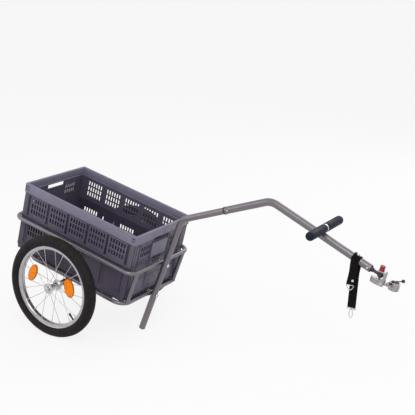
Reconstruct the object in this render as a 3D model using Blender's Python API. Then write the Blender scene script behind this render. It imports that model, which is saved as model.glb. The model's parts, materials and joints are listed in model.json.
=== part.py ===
"""Bicycle cargo trailer: a folding crate in a two-wheeled tube frame with a bent drawbar.

Metres, +Z up. Every piece is drawn in the frame's own axes: the origin is the middle of
the axle, +X points forward along the crate and +Y to the left. One empty then stands the
trailer nose down on its two tyres and its leg, with the origin on the ground under the
middle of the whole trailer.
"""
import math

import bmesh
import bpy
from mathutils import Matrix, Vector

# Fits
GAP = 0.0003
RUNNING_CLEARANCE = 0.00005

# Wheels
TRACK = 0.530
RIM_RADIUS = 0.161
RIM_WIDTH = 0.025
RIM_FLANGE = 0.002
RIM_DEPTH = 0.0145
RIM_WELL_DEPTH = 0.0085
RIM_SHOULDER = 0.0035
TYRE_HEIGHT = 0.038
TYRE_WIDTH = 0.044
TYRE_WALL = 0.003
BEAD_NECK = 0.0014
SPOKE_COUNT = 20
SPOKE_DIAMETER = 0.0022
SPOKE_HUB_SHIFT = math.radians(11)
SPOKE_RIM_SPREAD = 0.003
SPOKE_ROOT_INSET = 0.0035
HUB_FLANGE_RADIUS = 0.021
HUB_FLANGE_OFFSET = 0.026
HUB_FLANGE_THICKNESS = 0.003
HUB_BARREL_RADIUS = 0.0125
HUB_LENGTH = 0.060
BEARING_RADIUS = 0.0105
BEARING_WIDTH = 0.007
BEARING_SHOULDER = 0.002
STUB_AXLE_DIAMETER = 0.012
STUB_AXLE_GRIP = 0.050
STUB_COLLAR_RADIUS = 0.0095
STUB_TAPER = 0.7
STUB_HEAD_LENGTH = 0.009
REFLECTOR_LENGTH = 0.074
REFLECTOR_WIDTH = 0.040
REFLECTOR_THICKNESS = 0.007
REFLECTOR_RIM_DISTANCE = 0.053
REFLECTOR_ANGLES = (math.radians(25), math.radians(165))
VALVE_LENGTH = 0.028
VALVE_RADIUS = 0.0042
VALVE_TIP_LENGTH = 0.0028
VALVE_TIP_RADIUS = 0.0025
VALVE_ANGLE = math.radians(-36)

# Crate
CRATE_LENGTH = 0.542
CRATE_WIDTH = 0.360
CRATE_HEIGHT = 0.275
CRATE_SHIFT = -0.006
RIM_BAND_HEIGHT = 0.035
RIM_BAND_THICKNESS = 0.0105
PANEL_THICKNESS = 0.005
PANEL_INSET = 0.004
FOLD_DEPTH = 0.133
BASE_HEIGHT = 0.018
BASE_SIDE_INSET = 0.002
BASE_END_INSET = 0.0070
BASE_WALL = 0.005
BASE_DRAFT = 0.0005
BASE_FLOOR = 0.004
END_WALL_SIDE_GAP = 0.001
WINDOW_GROUP_COUNT = 5
WINDOW_PITCH = 0.096
WINDOW_WIDTH = 0.069
WINDOW_COLUMN_COUNT = 6
WINDOW_ROW_COUNT = 3
WINDOW_TOP = 0.048
SLOT_WIDTH = 0.007
SLOT_HEIGHT = 0.018
SLOT_SPACING = 0.023
LOWER_WINDOW_GROUPS = (0, 2)
LOWER_WINDOW_ROW_COUNT = 2
LOWER_WINDOW_TOP = 0.165
END_WINDOW_COLUMN_COUNT = 5
END_WINDOW_ROW_COUNT = 2
END_WINDOW_CENTRE = 0.096
END_WINDOW_WIDTH = 0.058
END_WINDOW_TOP = 0.058
HANDLE_LENGTH = 0.096
HANDLE_DEPTH = 0.0525

# Frame
AXLE_TUBE_DIAMETER = 0.022
AXLE_SHOULDER = 0.020
RAIL_DIAMETER = 0.016
RAIL_WALL = 0.0015
MID_RAIL_BEND = 0.035
FLOOR_RAIL_BEND = 0.045
RAIL_SEAM = 0.0006
MID_RAIL_RISE = 0.1394
RAIL_SIDE_CLEARANCE = 0.004
RAIL_FRONT_CLEARANCE = 0.010
RAIL_REAR_CLEARANCE = 0.006
FLOOR_RAIL_SIDE_STEP = 0.003
FLOOR_RAIL_REAR_INSET = 0.072
POST_DIAMETER = 0.017
POST_BEND_CLEARANCE = 0.001
FLOOR_BAR_WIDTH = 0.030
FLOOR_BAR_THICKNESS = 0.005
FLOOR_BAR_REAR_INSET = 0.134
FLOOR_BAR_FRONT_INSET = 0.090
LEG_BOLT_DIAMETER = 0.008
LEG_BOLT_HEAD = 0.0062
LEG_BOLT_HEAD_HEIGHT = 0.005

# Leg and drawbar
LEG_DIAMETER = 0.025
TUBE_WALL = 0.0015
LEG_LEAN = math.radians(6.95)
LEG_END_DROP = 0.161
FOOT_PLUG_THICKNESS = 0.003
FOOT_PLUG_DEPTH = 0.020
LOWER_BEND_RISE = 0.199
RISE_ANGLE = math.radians(33.1)
RISE_LENGTH = 0.391
FALL_ANGLE = math.radians(10.65)
FALL_LENGTH = 0.4186
LOWER_BEND_RADIUS = 0.055
UPPER_BEND_RADIUS = 0.065
SPLIT_DISTANCE = 0.196
SPIGOT_LENGTH = 0.060
FRONT_TUBE_DIAMETER = 0.028
BUTTON_DISTANCE = 0.016
BUTTON_RADIUS = 0.004
BUTTON_HEIGHT = 0.003
BUTTON_EDGE = 0.001
BUTTON_FLANGE_RADIUS = 0.0052
BUTTON_FLANGE_PLACE = 0.00875
BUTTON_FLANGE_THICKNESS = 0.002

# Handle
HANDLE_DISTANCE = 0.2145
HANDLE_TUBE_DIAMETER = 0.022
HANDLE_HALF_LENGTH = 0.126
GRIP_DIAMETER = 0.0316
GRIP_GAP = 0.014
GRIP_END = 0.007
GRIP_END_EDGE = 0.002
GRIP_END_SHOULDER_RADIUS = 0.0126
GRIP_END_FACE_RADIUS = 0.0079
SADDLE_LENGTH = 0.012

# Safety strap
STRAP_DISTANCE = 0.3605
STRAP_WIDTH = 0.030
STRAP_THICKNESS = 0.0022
STRAP_FRONT_DROP = 0.095
STRAP_BACK_DROP = 0.176
STRAP_JOIN_DROP = 0.055
STRAP_SHOULDER_DROP = 0.006
STRAP_FRONT_LEAN = 0.012
STRAP_BOLT_RADIUS = 0.003
STRAP_BOLT_FOOT = 0.008
STRAP_BOLT_HEAD = 0.006
STRAP_BOLT_HEAD_HEIGHT = 0.004
RIVET_DROP = 0.080
RIVET_RADIUS = 0.002
RIVET_HEAD = 0.0045
RIVET_HEAD_HEIGHT = 0.0015
RING_WIRE = 0.0032
D_RING_DROP = 0.018
END_BAR_HEIGHT = 0.006
END_BAR_MARGIN = 0.002
END_BAR_THICKNESS = 0.004
SNAP_WIRE = 0.0020
SNAP_LENGTH = 0.030
SNAP_WIDTH = 0.013

# Hitch, with places given from the centre of the ball
BUSH_LENGTH = 0.030
BUSH_FLANGE = 0.003
BUSH_FLANGE_INSET = 0.001
BALL_DISTANCE = 0.0377
BALL_RADIUS = 0.0105
SHANK_RADIUS = 0.0058
NECK_RADIUS = 0.0055
COLLAR_RADIUS = 0.0087
COLLAR_LENGTH = 0.0057
COLLAR_TAPER = 1.5
BALL_CAP_ANGLE = math.radians(9)
KING_PIN_RADIUS = 0.003
KING_PIN_RISE = 0.006
PIN_HEAD_RADIUS = 0.005
PIN_HEAD_HEIGHT = 0.0015
MOUTH_CLEARANCE = 0.002
HEAD_HALF_WIDTH = 0.011
HEAD_REACH = 0.020
HEAD_LIP = 0.010
HEAD_WEB = 0.0065
HEAD_PLATE = 0.0045
HEAD_CHAMFER = 0.003
DRUM_HALF_WIDTH = 0.0135
DRUM_REAR = 0.028
DRUM_REAR_HALF_WIDTH = 0.0065
DRUM_DEPTH = 0.0335
DRUM_STEP = 0.001
KNOB_RADIUS = 0.009
KNOB_HEIGHT = 0.0175
KNOB_CAVITY = 0.011
KNOB_FLANGE = 0.0065
KNOB_WAIST_RADIUS = 0.0072
KNOB_WAIST_HEIGHT = 0.002
KNOB_EDGE = 0.0015
PITCH_PIN_PLACE = (0.015, -0.0225)
PITCH_PIN_RADIUS = 0.003
PITCH_PIN_END = 0.001
KNUCKLE_RADIUS = 0.0065
LUG_HALF_GAP = 0.0068
ARM_HALF_WIDTH = 0.006
TONGUE_HALF_HEIGHT = 0.004
TONGUE_LENGTH = 0.012
SLEEVE_PLACE = 0.0555
SLEEVE_BORE = 0.0140
SLEEVE_RADIUS = 0.0178
SLEEVE_BOTTOM = -0.0290
SLEEVE_TOP = -0.0030
SLEEVE_EDGE = 0.002
GATE_HINGE_PLACE = 0.0225
GATE_BARREL_RADIUS = 0.0045
GATE_PIN_RADIUS = 0.002
GATE_PIN_HEAD = 0.0035
LEVER_PLACE = 0.047
LEVER_SEAT = -0.008
LEVER_BOSS_HEIGHT = 0.010
LEVER_HUB_RADIUS = 0.0044
LEVER_HUB_HEIGHT = 0.006
LEVER_EAR_HALF_WIDTH = 0.004
LEVER_PIN_END = 0.001
LEVER_ELBOW_REACH = 0.007
LEVER_ELBOW_RISE = 0.013
LEVER_LENGTH = 0.0377
LEVER_RISE = 0.0313
LEVER_OFFSET = 0.001
LEVER_RADIUS = 0.0018
LEVER_KNOB_RADIUS = 0.006

# Facets
TUBE_SIDES = 8
DRAWBAR_SIDES = 12
BEND_STEPS = 3
PIN_SIDES = 12
SPOKE_SIDES = 6
TREAD_STEPS = 5
RING_STEPS = 10
BALL_STEPS = 5
REFLECTOR_SIDES = 16
WHEEL_SEGMENTS = 2 * SPOKE_COUNT

X = Vector((1, 0, 0))
Y = Vector((0, 1, 0))
Z = Vector((0, 0, 1))


# Mesh builders

def skin(rings, closed=False):
    """A solid through rings of points; its two ends are capped unless the rings close up."""
    bm = bmesh.new()
    layers = [[bm.verts.new(point) for point in ring] for ring in rings]
    pairs = list(zip(layers, layers[1:]))
    if closed:
        pairs.append((layers[-1], layers[0]))
    for first, second in pairs:
        for i in range(len(first)):
            j = (i + 1) % len(first)
            bm.faces.new((first[i], first[j], second[j], second[i]))
    if not closed:
        bm.faces.new(layers[0])
        bm.faces.new(layers[-1])
    bmesh.ops.recalc_face_normals(bm, faces=bm.faces)
    return bm


def circle(centre, along, side, radius, sides):
    """A ring of points round a line; the first flat of the ring faces the side vector."""
    across = along.cross(side).normalized()
    angles = [2 * math.pi * (i + 0.5) / sides for i in range(sides)]
    return [centre + radius * (math.cos(a) * side + math.sin(a) * across) for a in angles]


def tangents(path, closed):
    """The direction of a path at each of its points."""
    count = len(path)
    result = []
    for i in range(count):
        before = path[i - 1] if closed or i > 0 else path[i]
        after = path[(i + 1) % count] if closed or i < count - 1 else path[i]
        result.append((after - before).normalized())
    return result


def sweep(path, side, radius, sides, bore=0.0, closed=False):
    """A round bar along a flat path, or an open-ended tube where a bore is given."""
    ways = tangents(path, closed)
    outer = [circle(p, t, side, radius, sides) for p, t in zip(path, ways)]
    if not bore:
        return skin(outer, closed)
    inner = [circle(p, t, side, bore, sides) for p, t in zip(path, ways)]
    return skin(outer + inner[::-1], closed=True)


def turned(start, axis, stations, sides, side=None):
    """A turned solid: stations are distances along the axis with a radius each."""
    side = side or (Y if abs(axis.y) < 0.5 else Z)
    side = (side - side.dot(axis) * axis).normalized()
    return skin([circle(start + d * axis, axis, side, r, sides) for d, r in stations])


def turned_ring(centre, axis, outline, sides):
    """A turned solid with a hole: a closed outline of distances and radii goes round."""
    side = Y if abs(axis.y) < 0.5 else X
    across = axis.cross(side)
    rings = []
    for i in range(sides):
        angle = 2 * math.pi * (i + 0.5) / sides
        way = math.cos(angle) * side + math.sin(angle) * across
        rings.append([centre + d * axis + r * way for d, r in outline])
    return skin(rings, closed=True)


def prism(outline, offset):
    """A solid between an outline and its copy moved by the offset."""
    return skin([outline, [point + offset for point in outline]])


def box(low, high):
    """A box between two corners."""
    (x0, y0, z0), (x1, y1, z1) = low, high
    outline = [Vector(p) for p in ((x0, y0, z0), (x1, y0, z0), (x1, y1, z0), (x0, y1, z0))]
    return prism(outline, Vector((0, 0, z1 - z0)))


def gathered(meshes):
    """Several separate solids in one mesh, for use as one cutter."""
    bm = bmesh.new()
    for source in meshes:
        copies = {v: bm.verts.new(v.co) for v in source.verts}
        for face in source.faces:
            bm.faces.new([copies[v] for v in face.verts])
        source.free()
    return bm


def rounded(corners, radii, steps):
    """A path through corners, each of which but the ends becomes an arc."""
    path = [corners[0]]
    for i in range(1, len(corners) - 1):
        path.extend(arc(corners[i - 1], corners[i], corners[i + 1], radii[i - 1], steps))
    path.append(corners[-1])
    return path


def arc(before, corner, after, radius, steps):
    """Points of the arc that rounds one corner."""
    inward = (before - corner).normalized()
    onward = (after - corner).normalized()
    turn = math.pi - inward.angle(onward)
    reach = radius * math.tan(turn / 2)
    start = corner + reach * inward
    middle = (inward + onward).normalized()
    centre = corner + radius / math.cos(turn / 2) * middle
    normal = inward.cross(onward).normalized()
    points = []
    for i in range(steps + 1):
        spin = Matrix.Rotation(-turn * i / steps, 3, normal)
        points.append(centre + spin @ (start - centre))
    return points


def flat(radius, sides):
    """How far the flats of a faceted bar lie from its middle."""
    return radius * math.cos(math.pi / sides)


def bore_for(shaft_radius, sides):
    """The corner radius of a faceted hole in which a faceted shaft can turn."""
    return (shaft_radius + RUNNING_CLEARANCE) / math.cos(math.pi / sides)


def hole_for(radius, sides):
    """The corner radius of a faceted hole that leaves the usual gap round a shaft."""
    return (radius + GAP) / math.cos(math.pi / sides)


# Scene helpers

def clear_scene():
    for old in list(bpy.data.objects):
        bpy.data.objects.remove(old, do_unlink=True)


def material(name, colour, roughness, metallic):
    result = bpy.data.materials.new(name)
    result.use_nodes = True
    shader = result.node_tree.nodes["Principled BSDF"]
    shader.inputs["Base Color"].default_value = (*colour, 1.0)
    shader.inputs["Roughness"].default_value = roughness
    shader.inputs["Metallic"].default_value = metallic
    return result


def add(name, bm, finish, stance, pivot=None):
    """A named piece; its mesh is drawn in the frame's axes and its origin is the pivot."""
    pivot = pivot or Vector((0, 0, 0))
    bm.transform(Matrix.Translation(-pivot))
    mesh = bpy.data.meshes.new(name)
    bm.to_mesh(mesh)
    bm.free()
    mesh.shade_smooth()
    mesh.set_sharp_from_angle(angle=math.radians(35))
    mesh.materials.append(finish)
    piece = bpy.data.objects.new(name, mesh)
    bpy.context.scene.collection.objects.link(piece)
    piece.parent = stance
    piece.location = pivot
    return piece


def boolean(piece, operation, bm, label):
    """A Boolean on a piece with a hidden solid that rides with it."""
    mesh = bpy.data.meshes.new(label)
    bm.to_mesh(mesh)
    bm.free()
    tool = bpy.data.objects.new(label, mesh)
    bpy.context.scene.collection.objects.link(tool)
    tool.parent = piece.parent
    tool.hide_render = True
    tool.display_type = "WIRE"
    modifier = piece.modifiers.new(label, "BOOLEAN")
    modifier.operation = operation
    modifier.solver = "EXACT"
    modifier.object = tool


def cut(piece, bm, label="cut"):
    boolean(piece, "DIFFERENCE", bm, piece.name + "_" + label)


def join(piece, bm, label="joined"):
    boolean(piece, "UNION", bm, piece.name + "_" + label)


# Heights and places that follow from the driving dimensions

RAIL_REACH = flat(RAIL_DIAMETER / 2, TUBE_SIDES)
FLOOR_RAIL_Z = flat(AXLE_TUBE_DIAMETER / 2, DRAWBAR_SIDES) + RAIL_REACH + GAP
MID_RAIL_Z = FLOOR_RAIL_Z + MID_RAIL_RISE
CRATE_BOTTOM = FLOOR_RAIL_Z + RAIL_REACH + GAP
CRATE_TOP = CRATE_BOTTOM + CRATE_HEIGHT
CRATE_FRONT = CRATE_SHIFT + CRATE_LENGTH / 2
CRATE_REAR = CRATE_SHIFT - CRATE_LENGTH / 2
BAND_BOTTOM = CRATE_TOP - RIM_BAND_HEIGHT
BASE_TOP = CRATE_BOTTOM + BASE_HEIGHT
PANEL_Y = CRATE_WIDTH / 2 - PANEL_INSET
END_WALL_HINGE_Z = BAND_BOTTOM - GAP - PANEL_THICKNESS / 2
END_WALL_HINGE_X = CRATE_LENGTH / 2 - PANEL_INSET - PANEL_THICKNESS / 2
MID_RAIL_FRONT = CRATE_FRONT + RAIL_FRONT_CLEARANCE + RAIL_DIAMETER / 2
MID_RAIL_REAR = CRATE_REAR - RAIL_REAR_CLEARANCE - RAIL_DIAMETER / 2
MID_RAIL_HALF_WIDTH = CRATE_WIDTH / 2 + RAIL_SIDE_CLEARANCE + RAIL_DIAMETER / 2
POST_HALF_SPACING = MID_RAIL_HALF_WIDTH - MID_RAIL_BEND - POST_BEND_CLEARANCE
FLOOR_RAIL_FRONT = MID_RAIL_FRONT - MID_RAIL_RISE * math.tan(LEG_LEAN)
FLOOR_RAIL_REAR = CRATE_REAR + FLOOR_RAIL_REAR_INSET
FLOOR_RAIL_HALF_WIDTH = CRATE_WIDTH / 2 + FLOOR_RAIL_SIDE_STEP
FLOOR_BAR_TOP = CRATE_BOTTOM - GAP
FLOOR_BAR_REACH = FLOOR_RAIL_HALF_WIDTH - RAIL_REACH - GAP
FLOOR_BAR_PLACES = (CRATE_REAR + FLOOR_BAR_REAR_INSET, CRATE_FRONT - FLOOR_BAR_FRONT_INSET)
AXLE_TUBE_LENGTH = TRACK - HUB_LENGTH - 2 * AXLE_SHOULDER
TYRE_RADIUS = RIM_RADIUS + TYRE_HEIGHT
RIM_INSIDE = flat(RIM_RADIUS - RIM_DEPTH, WHEEL_SEGMENTS)
SPOKE_REACH = RIM_INSIDE - 2 * GAP
SPOKE_ROOT = HUB_FLANGE_RADIUS - SPOKE_ROOT_INSET
REFLECTOR_RADIUS = RIM_INSIDE - REFLECTOR_RIM_DISTANCE
LEG_WAY = Vector((math.sin(LEG_LEAN), 0, math.cos(LEG_LEAN)))
LEG_FRONT = Vector((math.cos(LEG_LEAN), 0, -math.sin(LEG_LEAN)))
LEG_REACH = flat(LEG_DIAMETER / 2, DRAWBAR_SIDES)
FRONT_TUBE_REACH = flat(FRONT_TUBE_DIAMETER / 2, DRAWBAR_SIDES)
RAIL_EDGE_REACH = RAIL_DIAMETER / 2 * math.cos(math.pi / TUBE_SIDES - LEG_LEAN)
LEG_STAND_OFF = LEG_REACH + RAIL_EDGE_REACH + GAP
RISE_WAY = Vector((math.cos(RISE_ANGLE), 0, math.sin(RISE_ANGLE)))
FALL_WAY = Vector((math.cos(FALL_ANGLE), 0, -math.sin(FALL_ANGLE)))
FALL_UP = Vector((math.sin(FALL_ANGLE), 0, math.cos(FALL_ANGLE)))


def leg_point(height):
    """The point of the leg's centre line that lies level with a height."""
    base = Vector((MID_RAIL_FRONT, 0, MID_RAIL_Z)) + LEG_STAND_OFF * LEG_FRONT
    return base + (height - base.z) / LEG_WAY.z * LEG_WAY


LEG_END = leg_point(FLOOR_RAIL_Z - LEG_END_DROP)
LOWER_BEND = leg_point(MID_RAIL_Z + LOWER_BEND_RISE)
UPPER_BEND = LOWER_BEND + RISE_LENGTH * RISE_WAY
DRAWBAR_END = UPPER_BEND + FALL_LENGTH * FALL_WAY
SPLIT = LOWER_BEND + SPLIT_DISTANCE * RISE_WAY
BALL = DRAWBAR_END + BALL_DISTANCE * FALL_WAY


def stance_pitch():
    """The nose-down angle at which the tyres and the foot stand on one plane."""
    foot = LEG_END - FOOT_PLUG_THICKNESS * LEG_WAY
    low, high = 0.0, math.radians(45)
    for _ in range(60):
        pitch = (low + high) / 2
        down = Vector((math.sin(pitch), 0, -math.cos(pitch)))
        edge = LEG_DIAMETER / 2 * (down - down.dot(LEG_WAY) * LEG_WAY).length
        if foot.dot(down) + edge > TYRE_RADIUS:
            high = pitch
        else:
            low = pitch
    return low


# Frame pieces

def rail_path(rear, front, half_width, height, bend):
    """A rounded rectangle that starts and ends at a seam in the middle of the rear."""
    corners = [
        Vector((rear, RAIL_SEAM / 2, height)),
        Vector((rear, half_width, height)),
        Vector((front, half_width, height)),
        Vector((front, -half_width, height)),
        Vector((rear, -half_width, height)),
        Vector((rear, -RAIL_SEAM / 2, height)),
    ]
    return rounded(corners, [bend] * 4, BEND_STEPS)


def mid_rail_path():
    ends = (MID_RAIL_REAR, MID_RAIL_FRONT)
    return rail_path(*ends, MID_RAIL_HALF_WIDTH, MID_RAIL_Z, MID_RAIL_BEND)


def floor_rail_path():
    ends = (FLOOR_RAIL_REAR, FLOOR_RAIL_FRONT)
    return rail_path(*ends, FLOOR_RAIL_HALF_WIDTH, FLOOR_RAIL_Z, FLOOR_RAIL_BEND)


def make_frame(stance, steel, black):
    half = AXLE_TUBE_LENGTH / 2
    stub_bore = STUB_AXLE_DIAMETER / 2 + GAP
    path = [Vector((0, -half, 0)), Vector((0, half, 0))]
    radius = AXLE_TUBE_DIAMETER / 2
    add("axle_tube", sweep(path, Z, radius, DRAWBAR_SIDES, stub_bore), black, stance)
    rail = RAIL_DIAMETER / 2
    bore = rail - RAIL_WALL
    mid = add("mid_rail", sweep(mid_rail_path(), Z, rail, TUBE_SIDES, bore), steel, stance)
    low = add("floor_rail", sweep(floor_rail_path(), Z, rail, TUBE_SIDES, bore), steel, stance)
    make_posts(stance, steel)
    bottom = FLOOR_BAR_TOP - FLOOR_BAR_THICKNESS
    for label, x in zip(("rear", "front"), FLOOR_BAR_PLACES):
        corner = (x - FLOOR_BAR_WIDTH / 2, -FLOOR_BAR_REACH, bottom)
        other = (x + FLOOR_BAR_WIDTH / 2, FLOOR_BAR_REACH, FLOOR_BAR_TOP)
        add("floor_bar_" + label, box(corner, other), steel, stance)
    return mid, low


def make_posts(stance, steel):
    """Two posts that stand between the rails where the mid rail's front bends begin."""
    for label, sign in (("right", -1), ("left", 1)):
        y = sign * POST_HALF_SPACING
        low = Vector((FLOOR_RAIL_FRONT, y, FLOOR_RAIL_Z))
        high = Vector((MID_RAIL_FRONT, y, MID_RAIL_Z))
        inset = RAIL_DIAMETER / 4 * (high - low).normalized()
        foot = low + inset
        head = high - inset
        bore = POST_DIAMETER / 2 - RAIL_WALL
        tube = sweep([foot, head], Y, POST_DIAMETER / 2, TUBE_SIDES, bore)
        post = add("front_post_" + label, tube, steel, stance)
        clear = RAIL_DIAMETER / 2 + GAP
        for place, path in (("low", floor_rail_path()), ("mid", mid_rail_path())):
            cut(post, sweep(path, Z, clear, TUBE_SIDES), place)


def make_leg_and_drawbar(stance, steel, black, mid, low):
    bore = LEG_DIAMETER / 2 - TUBE_WALL
    spigot_end = SPLIT + SPIGOT_LENGTH * RISE_WAY
    path = rounded([LEG_END, LOWER_BEND, spigot_end], [LOWER_BEND_RADIUS], 2 * BEND_STEPS)
    rear = add("drawbar_rear", sweep(path, Y, LEG_DIAMETER / 2, DRAWBAR_SIDES, bore), steel, stance)
    path = rounded([SPLIT, UPPER_BEND, DRAWBAR_END], [UPPER_BEND_RADIUS], 2 * BEND_STEPS)
    front_bore = LEG_DIAMETER / 2 + GAP
    tube = sweep(path, Y, FRONT_TUBE_DIAMETER / 2, DRAWBAR_SIDES, front_bore)
    front = add("drawbar_front", tube, steel, stance)
    plug = [(-FOOT_PLUG_THICKNESS, LEG_DIAMETER / 2), (-GAP, LEG_DIAMETER / 2)]
    plug += [(-GAP, bore - GAP), (FOOT_PLUG_DEPTH, bore - GAP)]
    add("foot_plug", turned(LEG_END, LEG_WAY, plug, DRAWBAR_SIDES), black, stance)
    make_leg_bolts(stance, black, rear, mid, low)
    make_button(stance, black, rear, front)
    return front


def make_leg_bolts(stance, finish, rear, mid, low):
    """A bolt through the leg and each rail, square to the leg, with its nut behind."""
    head_seat = LEG_STAND_OFF + LEG_REACH + GAP
    nut_seat = -RAIL_EDGE_REACH - GAP
    shank = LEG_BOLT_DIAMETER / 2
    hole = hole_for(shank, TUBE_SIDES)
    places = (
        ("upper", Vector((MID_RAIL_FRONT, 0, MID_RAIL_Z)), mid),
        ("lower", Vector((FLOOR_RAIL_FRONT, 0, FLOOR_RAIL_Z)), low),
    )
    for label, place, rail in places:
        stations = [(nut_seat - LEG_BOLT_HEAD_HEIGHT, LEG_BOLT_HEAD), (nut_seat, LEG_BOLT_HEAD)]
        stations += [(nut_seat, shank), (head_seat, shank), (head_seat, LEG_BOLT_HEAD)]
        stations.append((head_seat + LEG_BOLT_HEAD_HEIGHT, LEG_BOLT_HEAD))
        bolt = turned(place, LEG_FRONT, stations, TUBE_SIDES)
        add("leg_bolt_" + label, bolt, finish, stance)
        for tube in (rear, rail):
            reach = [(2 * nut_seat, hole), (2 * head_seat, hole)]
            cut(tube, turned(place, LEG_FRONT, reach, TUBE_SIDES), "bolt_" + label)


def make_button(stance, finish, rear, front):
    """The spring button in the rear tube that snaps into a hole of the front tube."""
    place = SPLIT + BUTTON_DISTANCE * RISE_WAY
    outside = FRONT_TUBE_DIAMETER / 2 + BUTTON_HEIGHT
    flange = BUTTON_FLANGE_PLACE
    foot = flange - BUTTON_FLANGE_THICKNESS
    stations = [(foot, BUTTON_FLANGE_RADIUS), (flange, BUTTON_FLANGE_RADIUS)]
    stations += [(flange, BUTTON_RADIUS), (outside - BUTTON_EDGE, BUTTON_RADIUS)]
    stations.append((outside, BUTTON_RADIUS - BUTTON_EDGE))
    pivot = place - outside * Y
    add("drawbar_button", turned(place, -Y, stations, TUBE_SIDES), finish, stance, pivot)
    hole = hole_for(BUTTON_RADIUS, TUBE_SIDES)
    for tube in (rear, front):
        cut(tube, turned(place, -Y, [(foot, hole), (2 * outside, hole)], TUBE_SIDES), "button")


def make_handle(stance, steel, foam):
    radius = HANDLE_TUBE_DIAMETER / 2
    offset = FRONT_TUBE_REACH + flat(GRIP_DIAMETER / 2, DRAWBAR_SIDES) + GAP
    centre = UPPER_BEND + HANDLE_DISTANCE * FALL_WAY + offset * FALL_UP
    path = [centre - HANDLE_HALF_LENGTH * Y, centre + HANDLE_HALF_LENGTH * Y]
    tube = sweep(path, FALL_UP, radius, DRAWBAR_SIDES, radius - TUBE_WALL)
    handle = add("handle_tube", tube, steel, stance)
    half = SADDLE_LENGTH / 2
    low = FRONT_TUBE_REACH + GAP
    high = offset - radius + TUBE_WALL / 2
    base = UPPER_BEND + HANDLE_DISTANCE * FALL_WAY - GRIP_GAP / 2 * Y
    places = ((-half, low), (half, low), (half / 2, high), (-half / 2, high))
    outline = [base + along * FALL_WAY + up * FALL_UP for along, up in places]
    join(handle, prism(outline, GRIP_GAP * Y), "saddle")
    inside = radius + GAP
    outside = GRIP_DIAMETER / 2
    start = GRIP_GAP / 2 + GAP
    end = HANDLE_HALF_LENGTH + GRIP_END
    for label, way in (("right", -Y), ("left", Y)):
        stations = [(HANDLE_HALF_LENGTH + GAP, inside), (start, inside), (start, outside)]
        stations += [(end - GRIP_END, outside), (end - GRIP_END_EDGE, GRIP_END_SHOULDER_RADIUS)]
        stations.append((end, GRIP_END_FACE_RADIUS))
        grip = turned(centre, way, stations, DRAWBAR_SIDES, FALL_UP)
        add("grip_" + label, grip, foam, stance)


# Crate pieces

def crate_point(along, y, z):
    return Vector((CRATE_SHIFT + along, y, z))


def frame_ring(half_x, half_y, z):
    """Four corners of a rectangle round the crate's centre."""
    corners = ((-half_x, -half_y), (half_x, -half_y), (half_x, half_y), (-half_x, half_y))
    return [crate_point(x, y, z) for x, y in corners]


def slots(centre, across, normal, columns, rows, width, top):
    """Cutters for one group of upright slots; top is the height of its upper edge."""
    step = (width - SLOT_WIDTH) / (columns - 1)
    cutters = []
    for column in range(columns):
        offset = (column - (columns - 1) / 2) * step
        for row in range(rows):
            high = top - row * SLOT_SPACING
            corner = centre + (offset - SLOT_WIDTH / 2) * across - PANEL_THICKNESS * normal
            corner.z = high - SLOT_HEIGHT
            outline = [corner, corner + SLOT_WIDTH * across]
            outline += [point + SLOT_HEIGHT * Z for point in reversed(outline)]
            cutters.append(prism(outline, 2 * PANEL_THICKNESS * normal))
    return cutters


def window_centres(groups):
    return [(group - (WINDOW_GROUP_COUNT - 1) / 2) * WINDOW_PITCH for group in groups]


def make_long_walls(stance, plastic):
    half = CRATE_LENGTH / 2 - PANEL_INSET
    fold = CRATE_TOP - FOLD_DEPTH
    upper = (fold + GAP / 2, BAND_BOTTOM - GAP)
    lower = (BASE_TOP + GAP, fold - GAP / 2)
    halves = (
        ("upper", upper, WINDOW_ROW_COUNT, WINDOW_TOP, range(WINDOW_GROUP_COUNT)),
        ("lower", lower, LOWER_WINDOW_ROW_COUNT, LOWER_WINDOW_TOP, LOWER_WINDOW_GROUPS),
    )
    for label, sign in (("right", -1), ("left", 1)):
        outer = sign * PANEL_Y
        inner = sign * (PANEL_Y - PANEL_THICKNESS)
        near, far = min(outer, inner), max(outer, inner)
        middle = (near + far) / 2
        for name, (low, high), rows, top, groups in halves:
            corner = crate_point(-half, near, low)
            other = crate_point(half, far, high)
            panel = add(label + "_wall_" + name, box(corner, other), plastic, stance)
            cutters = []
            for x in window_centres(groups):
                centre = crate_point(x, middle, 0)
                args = (WINDOW_COLUMN_COUNT, rows, WINDOW_WIDTH, CRATE_TOP - top)
                cutters += slots(centre, X, Y, *args)
            cut(panel, gathered(cutters), "windows")


def make_end_walls(stance, plastic):
    """End walls that hang on their round upper edge and fold inward under the rim.

    A notch in the upper edge leaves a hand hold between the wall and the rim.
    """
    half_width = PANEL_Y - PANEL_THICKNESS - END_WALL_SIDE_GAP
    half = PANEL_THICKNESS / 2
    steps = 2 * BEND_STEPS
    for label, sign in (("rear", -1), ("front", 1)):
        pivot = crate_point(sign * END_WALL_HINGE_X, 0, END_WALL_HINGE_Z)
        low = BASE_TOP + GAP - pivot.z
        profile = [Vector((-half, 0, low)), Vector((half, 0, low))]
        for i in range(steps + 1):
            angle = math.pi * i / steps
            profile.append(Vector((half * math.cos(angle), 0, half * math.sin(angle))))
        outline = [pivot + point - half_width * Y for point in profile]
        wall = add(label + "_end_wall", prism(outline, 2 * half_width * Y), plastic, stance, pivot)
        cutters = []
        for side in (-1, 1):
            centre = Vector((pivot.x, side * END_WINDOW_CENTRE, 0))
            counts = (END_WINDOW_COLUMN_COUNT, END_WINDOW_ROW_COUNT)
            cutters += slots(centre, Y, X, *counts, END_WINDOW_WIDTH, CRATE_TOP - END_WINDOW_TOP)
        reach = PANEL_THICKNESS
        corner = (pivot.x - reach, -HANDLE_LENGTH / 2, CRATE_TOP - HANDLE_DEPTH)
        other = (pivot.x + reach, HANDLE_LENGTH / 2, CRATE_TOP)
        cutters.append(box(corner, other))
        cut(wall, gathered(cutters), "openings")


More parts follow.
